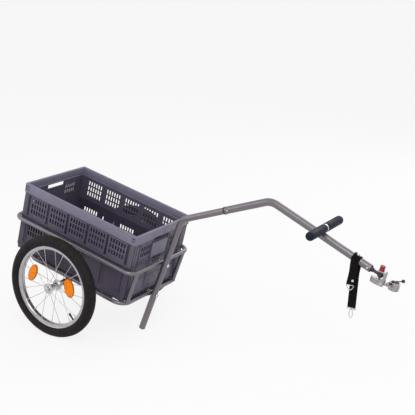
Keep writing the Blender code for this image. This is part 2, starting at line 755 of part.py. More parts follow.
def make_rim(stance, plastic):
    """The rim round the crate's top: two long bars with the two end bars between them."""
    half_x = CRATE_LENGTH / 2
    half_y = CRATE_WIDTH / 2
    reach = half_y - RIM_BAND_THICKNESS - GAP
    inner_x = half_x - RIM_BAND_THICKNESS
    inner_y = half_y - RIM_BAND_THICKNESS
    bars = (
        ("right", (-half_x, -half_y), (half_x, -inner_y)),
        ("left", (-half_x, inner_y), (half_x, half_y)),
        ("rear", (-half_x, -reach), (-inner_x, reach)),
        ("front", (inner_x, -reach), (half_x, reach)),
    )
    for label, low, high in bars:
        corner = crate_point(*low, BAND_BOTTOM)
        other = crate_point(*high, CRATE_TOP)
        add("crate_rim_" + label, box(corner, other), plastic, stance)


def make_base(stance, plastic):
    """The base tray: a floor with a low wall all round."""
    half_x = CRATE_LENGTH / 2 - BASE_END_INSET
    half_y = CRATE_WIDTH / 2 - BASE_SIDE_INSET
    floor = CRATE_BOTTOM + BASE_FLOOR
    sizes = ((BASE_WALL, floor), (BASE_WALL - BASE_DRAFT, BASE_TOP), (0, BASE_TOP), (0, CRATE_BOTTOM))
    rings = [frame_ring(half_x - inset, half_y - inset, z) for inset, z in sizes]
    add("crate_base", skin(rings), plastic, stance)


def make_crate(stance, plastic):
    make_rim(stance, plastic)
    make_base(stance, plastic)
    make_long_walls(stance, plastic)
    make_end_walls(stance, plastic)


# Wheel pieces

def hollow_outline(radius):
    """The few points of the tyre's hollow, or of the tube in it, over the tread."""
    crown = TYRE_RADIUS - TYRE_WIDTH / 2
    angles = [math.radians(200 - 220 * i / 3) for i in range(4)]
    return [(radius * math.cos(a), crown + radius * math.sin(a)) for a in angles]


def tyre_outline():
    """The tyre's section from bead to bead over the tread, then back inside."""
    crown = TYRE_RADIUS - TYRE_WIDTH / 2
    flange_top = RIM_RADIUS + 2 * GAP
    start = math.asin((flange_top - crown) / (TYRE_WIDTH / 2))
    bead_out = RIM_WIDTH / 2 - RIM_FLANGE - GAP
    bead_in = bead_out - TYRE_WALL
    bead_foot = RIM_RADIUS - RIM_WELL_DEPTH + GAP
    outline = []
    for i in range(TREAD_STEPS + 1):
        angle = start + (math.pi - 2 * start) * i / TREAD_STEPS
        outline.append((TYRE_WIDTH / 2 * math.cos(angle), crown + TYRE_WIDTH / 2 * math.sin(angle)))
    neck = flange_top + BEAD_NECK
    outline += [(-bead_out, flange_top), (-bead_out, bead_foot), (-bead_in, bead_foot)]
    outline.append((-bead_in, neck))
    outline += hollow_outline(TYRE_WIDTH / 2 - TYRE_WALL)
    outline += [(bead_in, neck), (bead_in, bead_foot)]
    outline += [(bead_out, bead_foot), (bead_out, flange_top)]
    return outline


def rim_outline():
    out = RIM_WIDTH / 2
    inside = out - RIM_FLANGE
    well = RIM_RADIUS - RIM_WELL_DEPTH
    low = RIM_RADIUS - RIM_DEPTH
    shoulder = low + RIM_SHOULDER
    half = [(out, RIM_RADIUS), (out, shoulder), (out / 2, low)]
    inner = [(-inside, RIM_RADIUS), (-inside, well), (inside, well), (inside, RIM_RADIUS)]
    return half + [(-y, r) for y, r in reversed(half)] + inner


def hub_outline():
    end = HUB_LENGTH / 2
    face = HUB_FLANGE_OFFSET + HUB_FLANGE_THICKNESS / 2
    back = HUB_FLANGE_OFFSET - HUB_FLANGE_THICKNESS / 2
    seat = end - BEARING_WIDTH
    neck = BEARING_RADIUS + BEARING_SHOULDER
    half = [(seat, STUB_AXLE_DIAMETER / 2 + BEARING_SHOULDER), (seat, BEARING_RADIUS + GAP)]
    half += [(end, BEARING_RADIUS + GAP), (end, neck), (face, neck), (face, HUB_FLANGE_RADIUS)]
    half += [(back, HUB_FLANGE_RADIUS), (back, HUB_BARREL_RADIUS)]
    return half + [(-y, r) for y, r in reversed(half)]


def spoke(centre, number):
    """One spoke from a hub flange to the middle of a facet of the rim."""
    rim_angle = 2 * math.pi * (2 * number + 1) / WHEEL_SEGMENTS
    flange = 1 if number % 2 else -1
    lean = SPOKE_HUB_SHIFT if number % 4 < 2 else -SPOKE_HUB_SHIFT
    hub_angle = rim_angle + lean
    start = wheel_point(centre, SPOKE_ROOT, hub_angle, flange * HUB_FLANGE_OFFSET)
    end = wheel_point(centre, SPOKE_REACH, rim_angle, flange * SPOKE_RIM_SPREAD)
    way = (end - start).normalized()
    side = (Y - Y.dot(way) * way).normalized()
    return skin([circle(p, way, side, SPOKE_DIAMETER / 2, SPOKE_SIDES) for p in (start, end)])


def wheel_point(centre, radius, angle, y):
    return centre + Vector((radius * math.cos(angle), y, radius * math.sin(angle)))


def reflector(centre, sign, angle):
    """An oval plate that lies against the outer spokes."""
    run = SPOKE_REACH - SPOKE_ROOT
    drop = HUB_FLANGE_OFFSET - SPOKE_RIM_SPREAD
    slope = math.atan2(drop, run)
    spoke_y = HUB_FLANGE_OFFSET - drop * (REFLECTOR_RADIUS - SPOKE_ROOT) / run
    outward = Vector((math.cos(angle), 0, math.sin(angle)))
    tangent = Vector((-math.sin(angle), 0, math.cos(angle)))
    along = math.cos(slope) * outward - sign * math.sin(slope) * Y
    normal = math.sin(slope) * outward + sign * math.cos(slope) * Y
    place = wheel_point(centre, REFLECTOR_RADIUS, angle, sign * spoke_y)
    rings = []
    layers = ((0, 0.94), (0.25, 1.0), (0.7, 1.0), (1.0, 0.9))
    for height, share in layers:
        lift = flat(SPOKE_DIAMETER / 2, SPOKE_SIDES) + GAP + height * REFLECTOR_THICKNESS
        ring = []
        for i in range(REFLECTOR_SIDES):
            turn = 2 * math.pi * i / REFLECTOR_SIDES
            x = share * REFLECTOR_WIDTH / 2 * math.cos(turn)
            y = share * REFLECTOR_LENGTH / 2 * math.sin(turn)
            ring.append(place + lift * normal + x * along + y * tangent)
        rings.append(ring)
    return skin(rings)


def stub_axle(centre, sign):
    """The stub axle: grip in the axle tube, collar, journal in the hub, head outside."""
    way = sign * Y
    radius = STUB_AXLE_DIAMETER / 2
    tube_end = AXLE_TUBE_LENGTH / 2
    hub_in = TRACK / 2 - HUB_LENGTH / 2
    hub_out = TRACK / 2 + HUB_LENGTH / 2
    head = hub_out + GAP
    stations = [(tube_end - STUB_AXLE_GRIP, radius), (tube_end + GAP, radius)]
    stations += [(tube_end + GAP, STUB_COLLAR_RADIUS), (hub_in - GAP, STUB_COLLAR_RADIUS)]
    stations += [(hub_in - GAP, radius), (head, radius), (head, STUB_COLLAR_RADIUS)]
    stations.append((head + STUB_TAPER * STUB_HEAD_LENGTH, STUB_COLLAR_RADIUS))
    stations.append((head + STUB_HEAD_LENGTH, STUB_TAPER * STUB_COLLAR_RADIUS))
    return turned(Vector((0, 0, 0)), way, stations, PIN_SIDES)


def make_bearings(stance, silver, centre, way, label):
    """A bearing ring in each end of the hub."""
    bore = bore_for(STUB_AXLE_DIAMETER / 2, PIN_SIDES)
    end = HUB_LENGTH / 2
    seat = end - BEARING_WIDTH + GAP
    for place, side in (("outer", 1), ("inner", -1)):
        outline = [(side * seat, bore), (side * end, bore)]
        outline += [(side * end, BEARING_RADIUS), (side * seat, BEARING_RADIUS)]
        bearing = turned_ring(centre, way, outline, PIN_SIDES)
        add(label + "_bearing_" + place, bearing, silver, stance, centre)


def make_valve(tube, rim, centre):
    """A stem that grows from the inner tube and passes through a hole in the rim."""
    outward = Vector((math.cos(VALVE_ANGLE), 0, math.sin(VALVE_ANGLE)))
    tip = RIM_INSIDE - VALVE_LENGTH
    root = TYRE_RADIUS - TYRE_WIDTH / 2
    stations = [(tip, VALVE_TIP_RADIUS), (tip + VALVE_TIP_LENGTH, VALVE_RADIUS)]
    stations.append((root, VALVE_RADIUS))
    join(tube, turned(centre, outward, stations, TUBE_SIDES), "valve")
    hole = hole_for(VALVE_RADIUS, TUBE_SIDES)
    cut(rim, turned(centre, outward, [(tip, hole), (RIM_RADIUS, hole)], TUBE_SIDES), "valve_hole")


def make_wheel(stance, finishes, label, sign):
    rubber, silver, amber = finishes
    centre = Vector((0, sign * TRACK / 2, 0))
    way = sign * Y
    tyre = turned_ring(centre, way, tyre_outline(), WHEEL_SEGMENTS)
    add(label + "_tyre", tyre, rubber, stance, centre)
    snug = TYRE_WIDTH / 2 - TYRE_WALL - 2 * GAP
    tube = turned_ring(centre, way, hollow_outline(snug), WHEEL_SEGMENTS)
    tube = add(label + "_inner_tube", tube, rubber, stance, centre)
    rim = turned_ring(centre, way, rim_outline(), WHEEL_SEGMENTS)
    rim = add(label + "_wheel_rim", rim, silver, stance, centre)
    make_valve(tube, rim, centre)
    hub = turned_ring(centre, way, hub_outline(), PIN_SIDES)
    hub = add(label + "_hub_and_spokes", hub, silver, stance, centre)
    join(hub, gathered([spoke(centre, i) for i in range(SPOKE_COUNT)]), "spokes")
    make_bearings(stance, silver, centre, way, label)
    add(label + "_stub_axle", stub_axle(centre, sign), silver, stance)
    for number, angle in enumerate(REFLECTOR_ANGLES, 1):
        plate = reflector(centre, sign, angle)
        add(label + "_reflector_" + str(number), plate, amber, stance, centre)


# Safety strap

def hang_way(pitch):
    """Straight down on the ground, in the frame's axes."""
    return Vector((math.sin(pitch), 0, -math.cos(pitch)))


def front_lean(drop):
    """How far the front layer leans back at a drop under the tube."""
    run = STRAP_FRONT_DROP - STRAP_SHOULDER_DROP
    return STRAP_FRONT_LEAN * max(0, drop - STRAP_SHOULDER_DROP) / run


def strap_stations(pitch):
    """Centre, thickness direction and width direction along the strap."""
    top = UPPER_BEND + STRAP_DISTANCE * FALL_WAY
    down = hang_way(pitch)
    level = Vector((math.cos(pitch), 0, math.sin(pitch)))
    radius = FRONT_TUBE_DIAMETER / 2 + GAP + STRAP_THICKNESS / 2
    near = STRAP_THICKNESS / 2 + GAP
    stations = []

    def layer(side, drop):
        """One hanging layer, from its lower end up to the tube."""
        steps = [drop, 0.75 * drop, STRAP_JOIN_DROP, 0.66 * STRAP_JOIN_DROP, 0.33 * STRAP_JOIN_DROP]
        rows = []
        for s in steps:
            share = (s - STRAP_SHOULDER_DROP) / (STRAP_JOIN_DROP - STRAP_SHOULDER_DROP)
            share = min(1.0, share)
            ease = share * share * (3 - 2 * share)
            y = side * (radius + (near - radius) * ease)
            width = FALL_WAY.lerp(level, ease).normalized()
            back = front_lean(s) if side < 0 else 0
            rows.append((top + s * down - back * level + y * Y, side * Y, width))
        return rows

    stations += layer(-1, STRAP_FRONT_DROP)
    for i in range(9):
        angle = math.pi * i / 8
        out = -math.cos(angle) * Y + math.sin(angle) * FALL_UP
        stations.append((top + radius * out, out, FALL_WAY))
    stations += reversed(layer(1, STRAP_BACK_DROP))
    return stations


def make_strap(stance, webbing, silver, front_tube, pitch):
    rings = []
    for centre, thick, wide in strap_stations(pitch):
        a = STRAP_THICKNESS / 2 * thick
        b = STRAP_WIDTH / 2 * wide
        rings.append([centre - a - b, centre - a + b, centre + a + b, centre + a - b])
    strap = add("safety_strap", skin(rings), webbing, stance)
    top = UPPER_BEND + STRAP_DISTANCE * FALL_WAY
    seat = FRONT_TUBE_DIAMETER / 2 + STRAP_THICKNESS + 2 * GAP
    foot = STRAP_BOLT_FOOT
    stations = [(foot, STRAP_BOLT_RADIUS), (seat, STRAP_BOLT_RADIUS), (seat, STRAP_BOLT_HEAD)]
    stations.append((seat + STRAP_BOLT_HEAD_HEIGHT, STRAP_BOLT_HEAD))
    add("strap_bolt", turned(top, FALL_UP, stations, TUBE_SIDES), silver, stance)
    hole = hole_for(STRAP_BOLT_RADIUS, TUBE_SIDES)
    for piece in (strap, front_tube):
        reach = [(foot - hole, hole), (2 * seat, hole)]
        cut(piece, turned(top, FALL_UP, reach, TUBE_SIDES), "strap_bolt")
    down = hang_way(pitch)
    level = Vector((math.cos(pitch), 0, math.sin(pitch)))
    place = top + RIVET_DROP * down - front_lean(RIVET_DROP) / 2 * level
    face = STRAP_THICKNESS + 2 * GAP
    end = face + RIVET_HEAD_HEIGHT
    stations = [(-end, RIVET_HEAD), (-face, RIVET_HEAD), (-face, RIVET_RADIUS)]
    stations += [(face, RIVET_RADIUS), (face, RIVET_HEAD), (end, RIVET_HEAD)]
    add("strap_rivet", turned(place, -Y, stations, TUBE_SIDES), silver, stance)
    hole = hole_for(RIVET_RADIUS, TUBE_SIDES)
    cut(strap, turned(place, -Y, [(-2 * face, hole), (2 * face, hole)], TUBE_SIDES), "rivet")
    make_strap_rings(stance, silver, top, down, level)


def make_strap_rings(stance, silver, top, down, level):
    """The D-ring under the front layer, the bar on the back layer and its snap ring."""
    wire = RING_WIRE / 2
    layer_y = STRAP_THICKNESS / 2 + GAP
    end = top + STRAP_FRONT_DROP * down - STRAP_FRONT_LEAN * level
    pivot = end + (GAP + wire) * down - layer_y * Y
    half = STRAP_WIDTH / 2 - wire
    path = [pivot - half * level, pivot + half * level]
    for i in range(1, 8):
        angle = math.pi * i / 8
        path.append(pivot + half * math.cos(angle) * level + D_RING_DROP * math.sin(angle) * down)
    add("strap_d_ring", sweep(path, Y, wire, TUBE_SIDES, closed=True), silver, stance, pivot)
    half = STRAP_WIDTH / 2 + END_BAR_MARGIN
    high = STRAP_BACK_DROP + GAP
    low = high + END_BAR_HEIGHT
    taper = half - END_BAR_MARGIN
    middle = END_BAR_THICKNESS / 4 * Y
    places = ((-half, high), (half, high), (taper, low), (-taper, low))
    outline = [top + along * level + s * down - middle for along, s in places]
    add("strap_end_bar", prism(outline, END_BAR_THICKNESS * Y), silver, stance)
    wire = SNAP_WIRE / 2
    pivot = top + (low + GAP + wire) * down + middle
    path = []
    for i in range(12):
        angle = 2 * math.pi * i / 12
        along = SNAP_WIDTH / 2 * math.sin(angle)
        drop = SNAP_LENGTH / 2 * (1 - math.cos(angle))
        path.append(pivot + along * level + drop * down)
    add("snap_ring", sweep(path, Y, wire, TUBE_SIDES, closed=True), silver, stance, pivot)


# Hitch

def hitch(x, y, z):
    """A point given from the centre of the ball."""
    return BALL + Vector((x, y, z))


def make_shank(stance, dark):
    """The bush in the drawbar's end and the shank that turns in it, with its ball."""
    bore = bore_for(SHANK_RADIUS, PIN_SIDES)
    tube_bore = LEG_DIAMETER / 2
    flange = FRONT_TUBE_DIAMETER / 2 - BUSH_FLANGE_INSET
    outline = [(-BUSH_LENGTH, bore), (-BUSH_LENGTH, tube_bore), (GAP, tube_bore)]
    outline += [(GAP, flange), (BUSH_FLANGE, flange), (BUSH_FLANGE, bore)]
    add("end_bush", turned_ring(DRAWBAR_END, FALL_WAY, outline, PIN_SIDES), dark, stance)
    inner = -BUSH_LENGTH - GAP
    outer = BUSH_FLANGE + GAP
    stations = [(inner - COLLAR_LENGTH, COLLAR_RADIUS), (inner, COLLAR_RADIUS)]
    stations += [(inner, SHANK_RADIUS), (outer, SHANK_RADIUS), (outer, COLLAR_RADIUS)]
    stations += [(outer + COLLAR_LENGTH, COLLAR_RADIUS), (outer + COLLAR_TAPER * COLLAR_LENGTH, NECK_RADIUS)]
    start = math.pi - math.asin(NECK_RADIUS / BALL_RADIUS)
    for i in range(BALL_STEPS + 1):
        angle = start + (BALL_CAP_ANGLE - start) * i / BALL_STEPS
        along = BALL_DISTANCE + BALL_RADIUS * math.cos(angle)
        stations.append((along, BALL_RADIUS * math.sin(angle)))
    shank = turned(DRAWBAR_END, FALL_WAY, stations, PIN_SIDES)
    shank = add("swivel_shank", shank, dark, stance, DRAWBAR_END)
    hole = bore_for(KING_PIN_RADIUS, PIN_SIDES)
    reach = [(-2 * BALL_RADIUS, hole), (2 * BALL_RADIUS, hole)]
    cut(shank, turned(BALL, Z, reach, PIN_SIDES), "king_pin")


def make_coupling_head(stance, cast, silver, red):
    """A fork round the ball; its lower jaw is a drum with a slot for the clamp's tongue."""
    mouth = BALL_RADIUS + MOUTH_CLEARANCE
    plate = mouth + HEAD_PLATE
    web = HEAD_REACH - HEAD_WEB
    corners = [(-HEAD_LIP, plate), (HEAD_REACH - HEAD_CHAMFER, plate), (HEAD_REACH, mouth)]
    corners += [(HEAD_REACH, -plate), (-HEAD_LIP, -plate), (-HEAD_LIP, -mouth)]
    corners += [(web, -mouth), (web, mouth), (-HEAD_LIP, mouth)]
    outline = [hitch(x, -HEAD_HALF_WIDTH, z) for x, z in corners]
    head = add("coupling_head", prism(outline, 2 * HEAD_HALF_WIDTH * Y), cast, stance, BALL)
    px, pz = PITCH_PIN_PLACE
    front = px + KNUCKLE_RADIUS
    corners = [(-DRUM_REAR, -DRUM_REAR_HALF_WIDTH), (-HEAD_LIP, -DRUM_HALF_WIDTH)]
    corners.append((front, -DRUM_HALF_WIDTH))
    corners += [(x, -y) for x, y in reversed(corners)]
    outline = [hitch(x, y, -DRUM_DEPTH) for x, y in corners]
    join(head, prism(outline, (DRUM_DEPTH - mouth - DRUM_STEP) * Z), "drum")
    corner = hitch(px - KNUCKLE_RADIUS - DRUM_STEP, -LUG_HALF_GAP, -DRUM_DEPTH - DRUM_STEP)
    other = hitch(front + DRUM_STEP, LUG_HALF_GAP, pz + KNUCKLE_RADIUS + GAP)
    cut(head, box(corner, other), "tongue_slot")
    hole = hole_for(KING_PIN_RADIUS, PIN_SIDES)
    reach = [(-2 * DRUM_DEPTH, hole), (2 * DRUM_DEPTH, hole)]
    cut(head, turned(BALL, Z, reach, PIN_SIDES), "king_pin")
    pin_place = hitch(px, 0, pz)
    hole = hole_for(PITCH_PIN_RADIUS, PIN_SIDES)
    reach = [(-2 * DRUM_HALF_WIDTH, hole), (2 * DRUM_HALF_WIDTH, hole)]
    cut(head, turned(pin_place, Y, reach, PIN_SIDES), "pitch_pin")
    seat = -DRUM_DEPTH - GAP
    stations = [(seat - PIN_HEAD_HEIGHT, PIN_HEAD_RADIUS), (seat, PIN_HEAD_RADIUS)]
    stations += [(seat, KING_PIN_RADIUS), (plate + KING_PIN_RISE, KING_PIN_RADIUS)]
    add("king_pin", turned(BALL, Z, stations, PIN_SIDES), silver, stance, BALL)
    seat = -DRUM_HALF_WIDTH - GAP
    end = DRUM_HALF_WIDTH + PITCH_PIN_END
    stations = [(seat - PIN_HEAD_HEIGHT, PIN_HEAD_RADIUS), (seat, PIN_HEAD_RADIUS)]
    stations += [(seat, PITCH_PIN_RADIUS), (end, PITCH_PIN_RADIUS)]
    pin = turned(pin_place, Y, stations, PIN_SIDES)
    add("pitch_pin", pin, silver, stance, pin_place)
    make_knob(stance, red, plate)


def make_knob(stance, red, plate):
    """The release knob: a hollow cap with a waist, over the king pin's end."""
    mouth = plate + GAP
    cavity = KING_PIN_RADIUS + GAP
    end = mouth + KNOB_HEIGHT
    low = mouth + KNOB_FLANGE
    high = low + KNOB_WAIST_HEIGHT
    stations = [(plate + KNOB_CAVITY, cavity), (mouth, cavity), (mouth, KNOB_RADIUS)]
    stations += [(low - KNOB_EDGE, KNOB_RADIUS), (low, KNOB_WAIST_RADIUS)]
    stations += [(high, KNOB_WAIST_RADIUS), (high + KNOB_EDGE, KNOB_RADIUS)]
    stations += [(end - KNOB_EDGE, KNOB_RADIUS), (end, KNOB_WAIST_RADIUS)]
    add("release_knob", turned(BALL, Z, stations, PIN_SIDES), red, stance, BALL)


def half_ring(centre, start, end):
    """The outline of a curved band round the sleeve's centre, between two angles."""
    angles = [start + (end - start) * i / RING_STEPS for i in range(RING_STEPS + 1)]
    outer = [centre + SLEEVE_RADIUS * Vector((math.cos(a), math.sin(a), 0)) for a in angles]
    inner = [centre + SLEEVE_BORE * Vector((math.cos(a), math.sin(a), 0)) for a in angles]
    return outer + inner[::-1]


def make_clamp(stance, cast, dark):
    """The seat-post clamp: a split sleeve on the pitch pin, its gate and its lever."""
    height = SLEEVE_TOP - SLEEVE_BOTTOM
    split = math.asin(GAP / SLEEVE_BORE)
    centre = hitch(SLEEVE_PLACE, 0, SLEEVE_BOTTOM)
    px, pz = PITCH_PIN_PLACE
    pivot = hitch(px, 0, pz)
    rear = half_ring(centre, math.pi / 2 + split, 3 * math.pi / 2 - split)
    body = add("clamp_body", prism(rear, height * Z), cast, stance, pivot)
    half = LUG_HALF_GAP - GAP
    knuckle = [(-half, KNUCKLE_RADIUS), (half, KNUCKLE_RADIUS)]
    join(body, turned(pivot, Y, knuckle, PIN_SIDES), "knuckle")
    seat = SLEEVE_PLACE - SLEEVE_BORE - (SLEEVE_RADIUS - SLEEVE_BORE) / 3
    root = px + TONGUE_LENGTH
    places = [(px, pz - TONGUE_HALF_HEIGHT), (root, pz - TONGUE_HALF_HEIGHT)]
    places += [(seat, SLEEVE_BOTTOM + SLEEVE_EDGE), (seat, SLEEVE_TOP - SLEEVE_EDGE)]
    places += [(root, pz + TONGUE_HALF_HEIGHT), (px, pz + TONGUE_HALF_HEIGHT)]
    outline = [hitch(x, -ARM_HALF_WIDTH, z) for x, z in places]
    join(body, prism(outline, 2 * ARM_HALF_WIDTH * Y), "arm")
    hole = bore_for(PITCH_PIN_RADIUS, PIN_SIDES)
    reach = [(-2 * half, hole), (2 * half, hole)]
    cut(body, turned(pivot, Y, reach, PIN_SIDES), "pitch_pin")
    front = half_ring(centre, -math.pi / 2 + split, math.pi / 2 - split)
    axis = hitch(SLEEVE_PLACE, GATE_HINGE_PLACE, 0)
    gate = add("clamp_gate", prism(front, height * Z), cast, stance, axis)
    make_clamp_hinge(body, gate, axis)
    make_lever(stance, dark, body)


def make_clamp_hinge(body, gate, axis):
    """The gate's barrel sits above the body's and turns on the body's upright pin."""
    middle = (SLEEVE_TOP + SLEEVE_BOTTOM) / 2
    spans = (
        (body, -1, SLEEVE_BOTTOM, middle - GAP / 2),
        (gate, 1, middle + GAP / 2, SLEEVE_TOP),
    )
    wall = (SLEEVE_RADIUS + SLEEVE_BORE) / 2
    for piece, sign, low, high in spans:
        barrel = turned(axis, Z, [(low, GATE_BARREL_RADIUS), (high, GATE_BARREL_RADIUS)], PIN_SIDES)
        join(piece, barrel, "barrel")
        near = SLEEVE_PLACE + sign * GAP
        far = SLEEVE_PLACE + sign * GATE_BARREL_RADIUS
        corner = hitch(min(near, far), wall, low)
        other = hitch(max(near, far), GATE_HINGE_PLACE, high)
        join(piece, box(corner, other), "ear")
    hole = bore_for(GATE_PIN_RADIUS, PIN_SIDES)
    cut(gate, turned(axis, Z, [(2 * SLEEVE_BOTTOM, hole), (-SLEEVE_BOTTOM, hole)], PIN_SIDES), "pin")
    seat = SLEEVE_TOP + GAP
    stations = [(middle - GATE_BARREL_RADIUS, GATE_PIN_RADIUS), (seat, GATE_PIN_RADIUS)]
    stations += [(seat, GATE_PIN_HEAD), (seat + PIN_HEAD_HEIGHT, GATE_PIN_HEAD)]
    join(body, turned(axis, Z, stations, PIN_SIDES), "pin")


def make_lever(stance, finish, body):
    """The closing lever on the right of the sleeve, with a ball knob at its end."""
    pivot = hitch(LEVER_PLACE, -GATE_HINGE_PLACE, LEVER_SEAT)
    foot = -LEVER_BOSS_HEIGHT
    boss = turned(pivot, Z, [(foot, LEVER_HUB_RADIUS), (0, LEVER_HUB_RADIUS)], PIN_SIDES)
    join(body, boss, "lever_boss")
    corner = hitch(LEVER_PLACE - LEVER_EAR_HALF_WIDTH, -GATE_HINGE_PLACE, LEVER_SEAT + foot)
    other = hitch(LEVER_PLACE + LEVER_EAR_HALF_WIDTH, -SLEEVE_BORE - GAP, LEVER_SEAT - GAP)
    join(body, box(corner, other), "lever_ear")
    hole = bore_for(GATE_PIN_RADIUS, PIN_SIDES)
    cut(body, turned(pivot, Z, [(2 * foot, hole), (-foot, hole)], PIN_SIDES), "lever_pin")
    stations = [(foot - LEVER_PIN_END, GATE_PIN_RADIUS), (GAP, GATE_PIN_RADIUS)]
    stations += [(GAP, LEVER_HUB_RADIUS), (LEVER_HUB_HEIGHT, LEVER_HUB_RADIUS)]
    lever = add("clamp_lever", turned(pivot, Z, stations, PIN_SIDES), finish, stance, pivot)
    base = pivot - LEVER_OFFSET * Y
    start = base + LEVER_HUB_HEIGHT / 2 * Z
    elbow = base + LEVER_ELBOW_REACH * X + LEVER_ELBOW_RISE * Z
    end = base + LEVER_LENGTH * X + LEVER_RISE * Z
    join(lever, sweep([start, elbow, end], Y, LEVER_RADIUS, TUBE_SIDES), "arm")
    stations = []
    for i in range(BALL_STEPS + 1):
        angle = BALL_CAP_ANGLE + (math.pi - 2 * BALL_CAP_ANGLE) * i / BALL_STEPS
        stations.append((-LEVER_KNOB_RADIUS * math.cos(angle), LEVER_KNOB_RADIUS * math.sin(angle)))
    join(lever, turned(end, (end - elbow).normalized(), stations, TUBE_SIDES), "knob")


# Standing the trailer on the ground

def world_box(pieces):
    """The lowest and highest corners of the finished pieces."""
    bpy.context.view_layer.update()
    graph = bpy.context.evaluated_depsgraph_get()
    low = Vector((math.inf,) * 3)
    high = -low
    for piece in pieces:
        finished = piece.evaluated_get(graph)
        for vertex in finished.data.vertices:
            point = finished.matrix_world @ vertex.co
            low = Vector(map(min, low, point))
            high = Vector(map(max, high, point))
    return low, high


def main():
    clear_scene()
    stance = bpy.data.objects.new("trailer_stance", None)
    bpy.context.scene.collection.objects.link(stance)
    steel = material("grey_painted_steel", (0.30, 0.29, 0.30), 0.38, 0.6)
    black = material("black_steel", (0.02, 0.02, 0.02), 0.45, 0.3)
    rubber = material("tyre_rubber", (0.02, 0.02, 0.02), 0.75, 0.0)
    silver = material("bright_steel", (0.62, 0.62, 0.64), 0.25, 1.0)
    cast = material("cast_aluminium", (0.50, 0.48, 0.50), 0.40, 0.9)
    amber = material("amber_reflector", (0.95, 0.35, 0.01), 0.25, 0.0)
    plastic = material("crate_plastic", (0.10, 0.09, 0.14), 0.50, 0.0)
    foam = material("grip_foam", (0.01, 0.015, 0.03), 0.70, 0.0)
    webbing = material("strap_webbing", (0.008, 0.006, 0.008), 0.80, 0.0)
    red = material("red_knob", (0.50, 0.01, 0.02), 0.35, 0.0)
    pitch = stance_pitch()
    mid, low = make_frame(stance, steel, black)
    front_tube = make_leg_and_drawbar(stance, steel, black, mid, low)
    make_handle(stance, silver, foam)
    make_crate(stance, plastic)
    for label, sign in (("right", -1), ("left", 1)):
        make_wheel(stance, (rubber, silver, amber), label, sign)
    make_strap(stance, webbing, silver, front_tube, pitch)
    make_shank(stance, black)
    make_coupling_head(stance, cast, silver, red)
    make_clamp(stance, cast, black)
    stance.rotation_euler = (0, pitch, 0)
    solids = [o for o in bpy.data.objects if o.type == "MESH" and not o.hide_render]
    bottom, top = world_box(solids)
    middle = (bottom + top) / 2
    stance.location = (-middle.x, -middle.y, -bottom.z)


main()
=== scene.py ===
import json
import math

import bmesh
import bpy
from mathutils import Matrix, Vector


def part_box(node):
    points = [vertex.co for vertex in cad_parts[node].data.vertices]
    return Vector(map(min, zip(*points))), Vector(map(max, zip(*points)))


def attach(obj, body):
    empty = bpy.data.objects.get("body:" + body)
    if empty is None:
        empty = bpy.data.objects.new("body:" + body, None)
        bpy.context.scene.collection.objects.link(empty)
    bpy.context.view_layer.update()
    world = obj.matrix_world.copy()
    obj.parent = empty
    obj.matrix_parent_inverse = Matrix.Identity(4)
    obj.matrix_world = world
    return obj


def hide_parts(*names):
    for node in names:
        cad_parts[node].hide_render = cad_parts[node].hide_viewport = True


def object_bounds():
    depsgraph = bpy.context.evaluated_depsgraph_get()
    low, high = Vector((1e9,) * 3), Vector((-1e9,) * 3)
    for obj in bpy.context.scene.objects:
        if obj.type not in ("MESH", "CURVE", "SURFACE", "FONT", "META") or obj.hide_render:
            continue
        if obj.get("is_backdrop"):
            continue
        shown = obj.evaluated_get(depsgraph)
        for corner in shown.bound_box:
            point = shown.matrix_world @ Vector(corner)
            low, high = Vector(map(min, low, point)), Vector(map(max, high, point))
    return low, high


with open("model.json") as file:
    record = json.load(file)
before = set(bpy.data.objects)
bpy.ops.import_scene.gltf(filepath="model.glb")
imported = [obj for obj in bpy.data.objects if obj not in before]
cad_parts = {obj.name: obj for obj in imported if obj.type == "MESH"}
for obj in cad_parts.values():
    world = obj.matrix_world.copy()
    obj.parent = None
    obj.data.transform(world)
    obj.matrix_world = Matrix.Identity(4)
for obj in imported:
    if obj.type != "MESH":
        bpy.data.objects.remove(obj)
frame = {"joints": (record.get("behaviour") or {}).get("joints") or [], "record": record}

CAD_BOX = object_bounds()

# Every piece is drawn in the trailer's own axes: the origin is the middle of the axle, +X
# points forward along the crate and +Y to the left. STANCE takes it to the frame's axes.
JOINTS = {joint["name"]: joint for joint in frame["joints"]}
AXLE = Vector(JOINTS["right_wheel_spin"]["pos_m"])
AXLE.y = 0
CRATE_UP = Vector(JOINTS["crate_lift"]["axis"])
PITCH = math.atan2(CRATE_UP.x, CRATE_UP.z)
STANCE = Matrix.Translation(AXLE) @ Matrix.Rotation(PITCH, 4, "Y")

# Wheels, in metres
TRACK = 0.53
TYRE_RADIUS = 0.199
TYRE_WIDTH = 0.044
RIM_RADIUS = 0.1615
RIM_WIDTH = 0.025
RIM_DEPTH = 0.015
SPOKE_COUNT = 20
SPOKE_RADIUS = 0.001
HUB_FLANGE_RADIUS = 0.021
HUB_FLANGE_OFFSET = 0.026
HUB_BARREL_RADIUS = 0.012
HUB_LENGTH = 0.06
SPOKE_HUB_SHIFT = math.radians(11)
REFLECTOR_RADIUS = 0.093
REFLECTOR_HALF_LENGTH = 0.037
REFLECTOR_HALF_WIDTH = 0.02
REFLECTOR_ANGLES = (math.radians(25), math.radians(165))
VALVE_ANGLE = math.radians(-36)

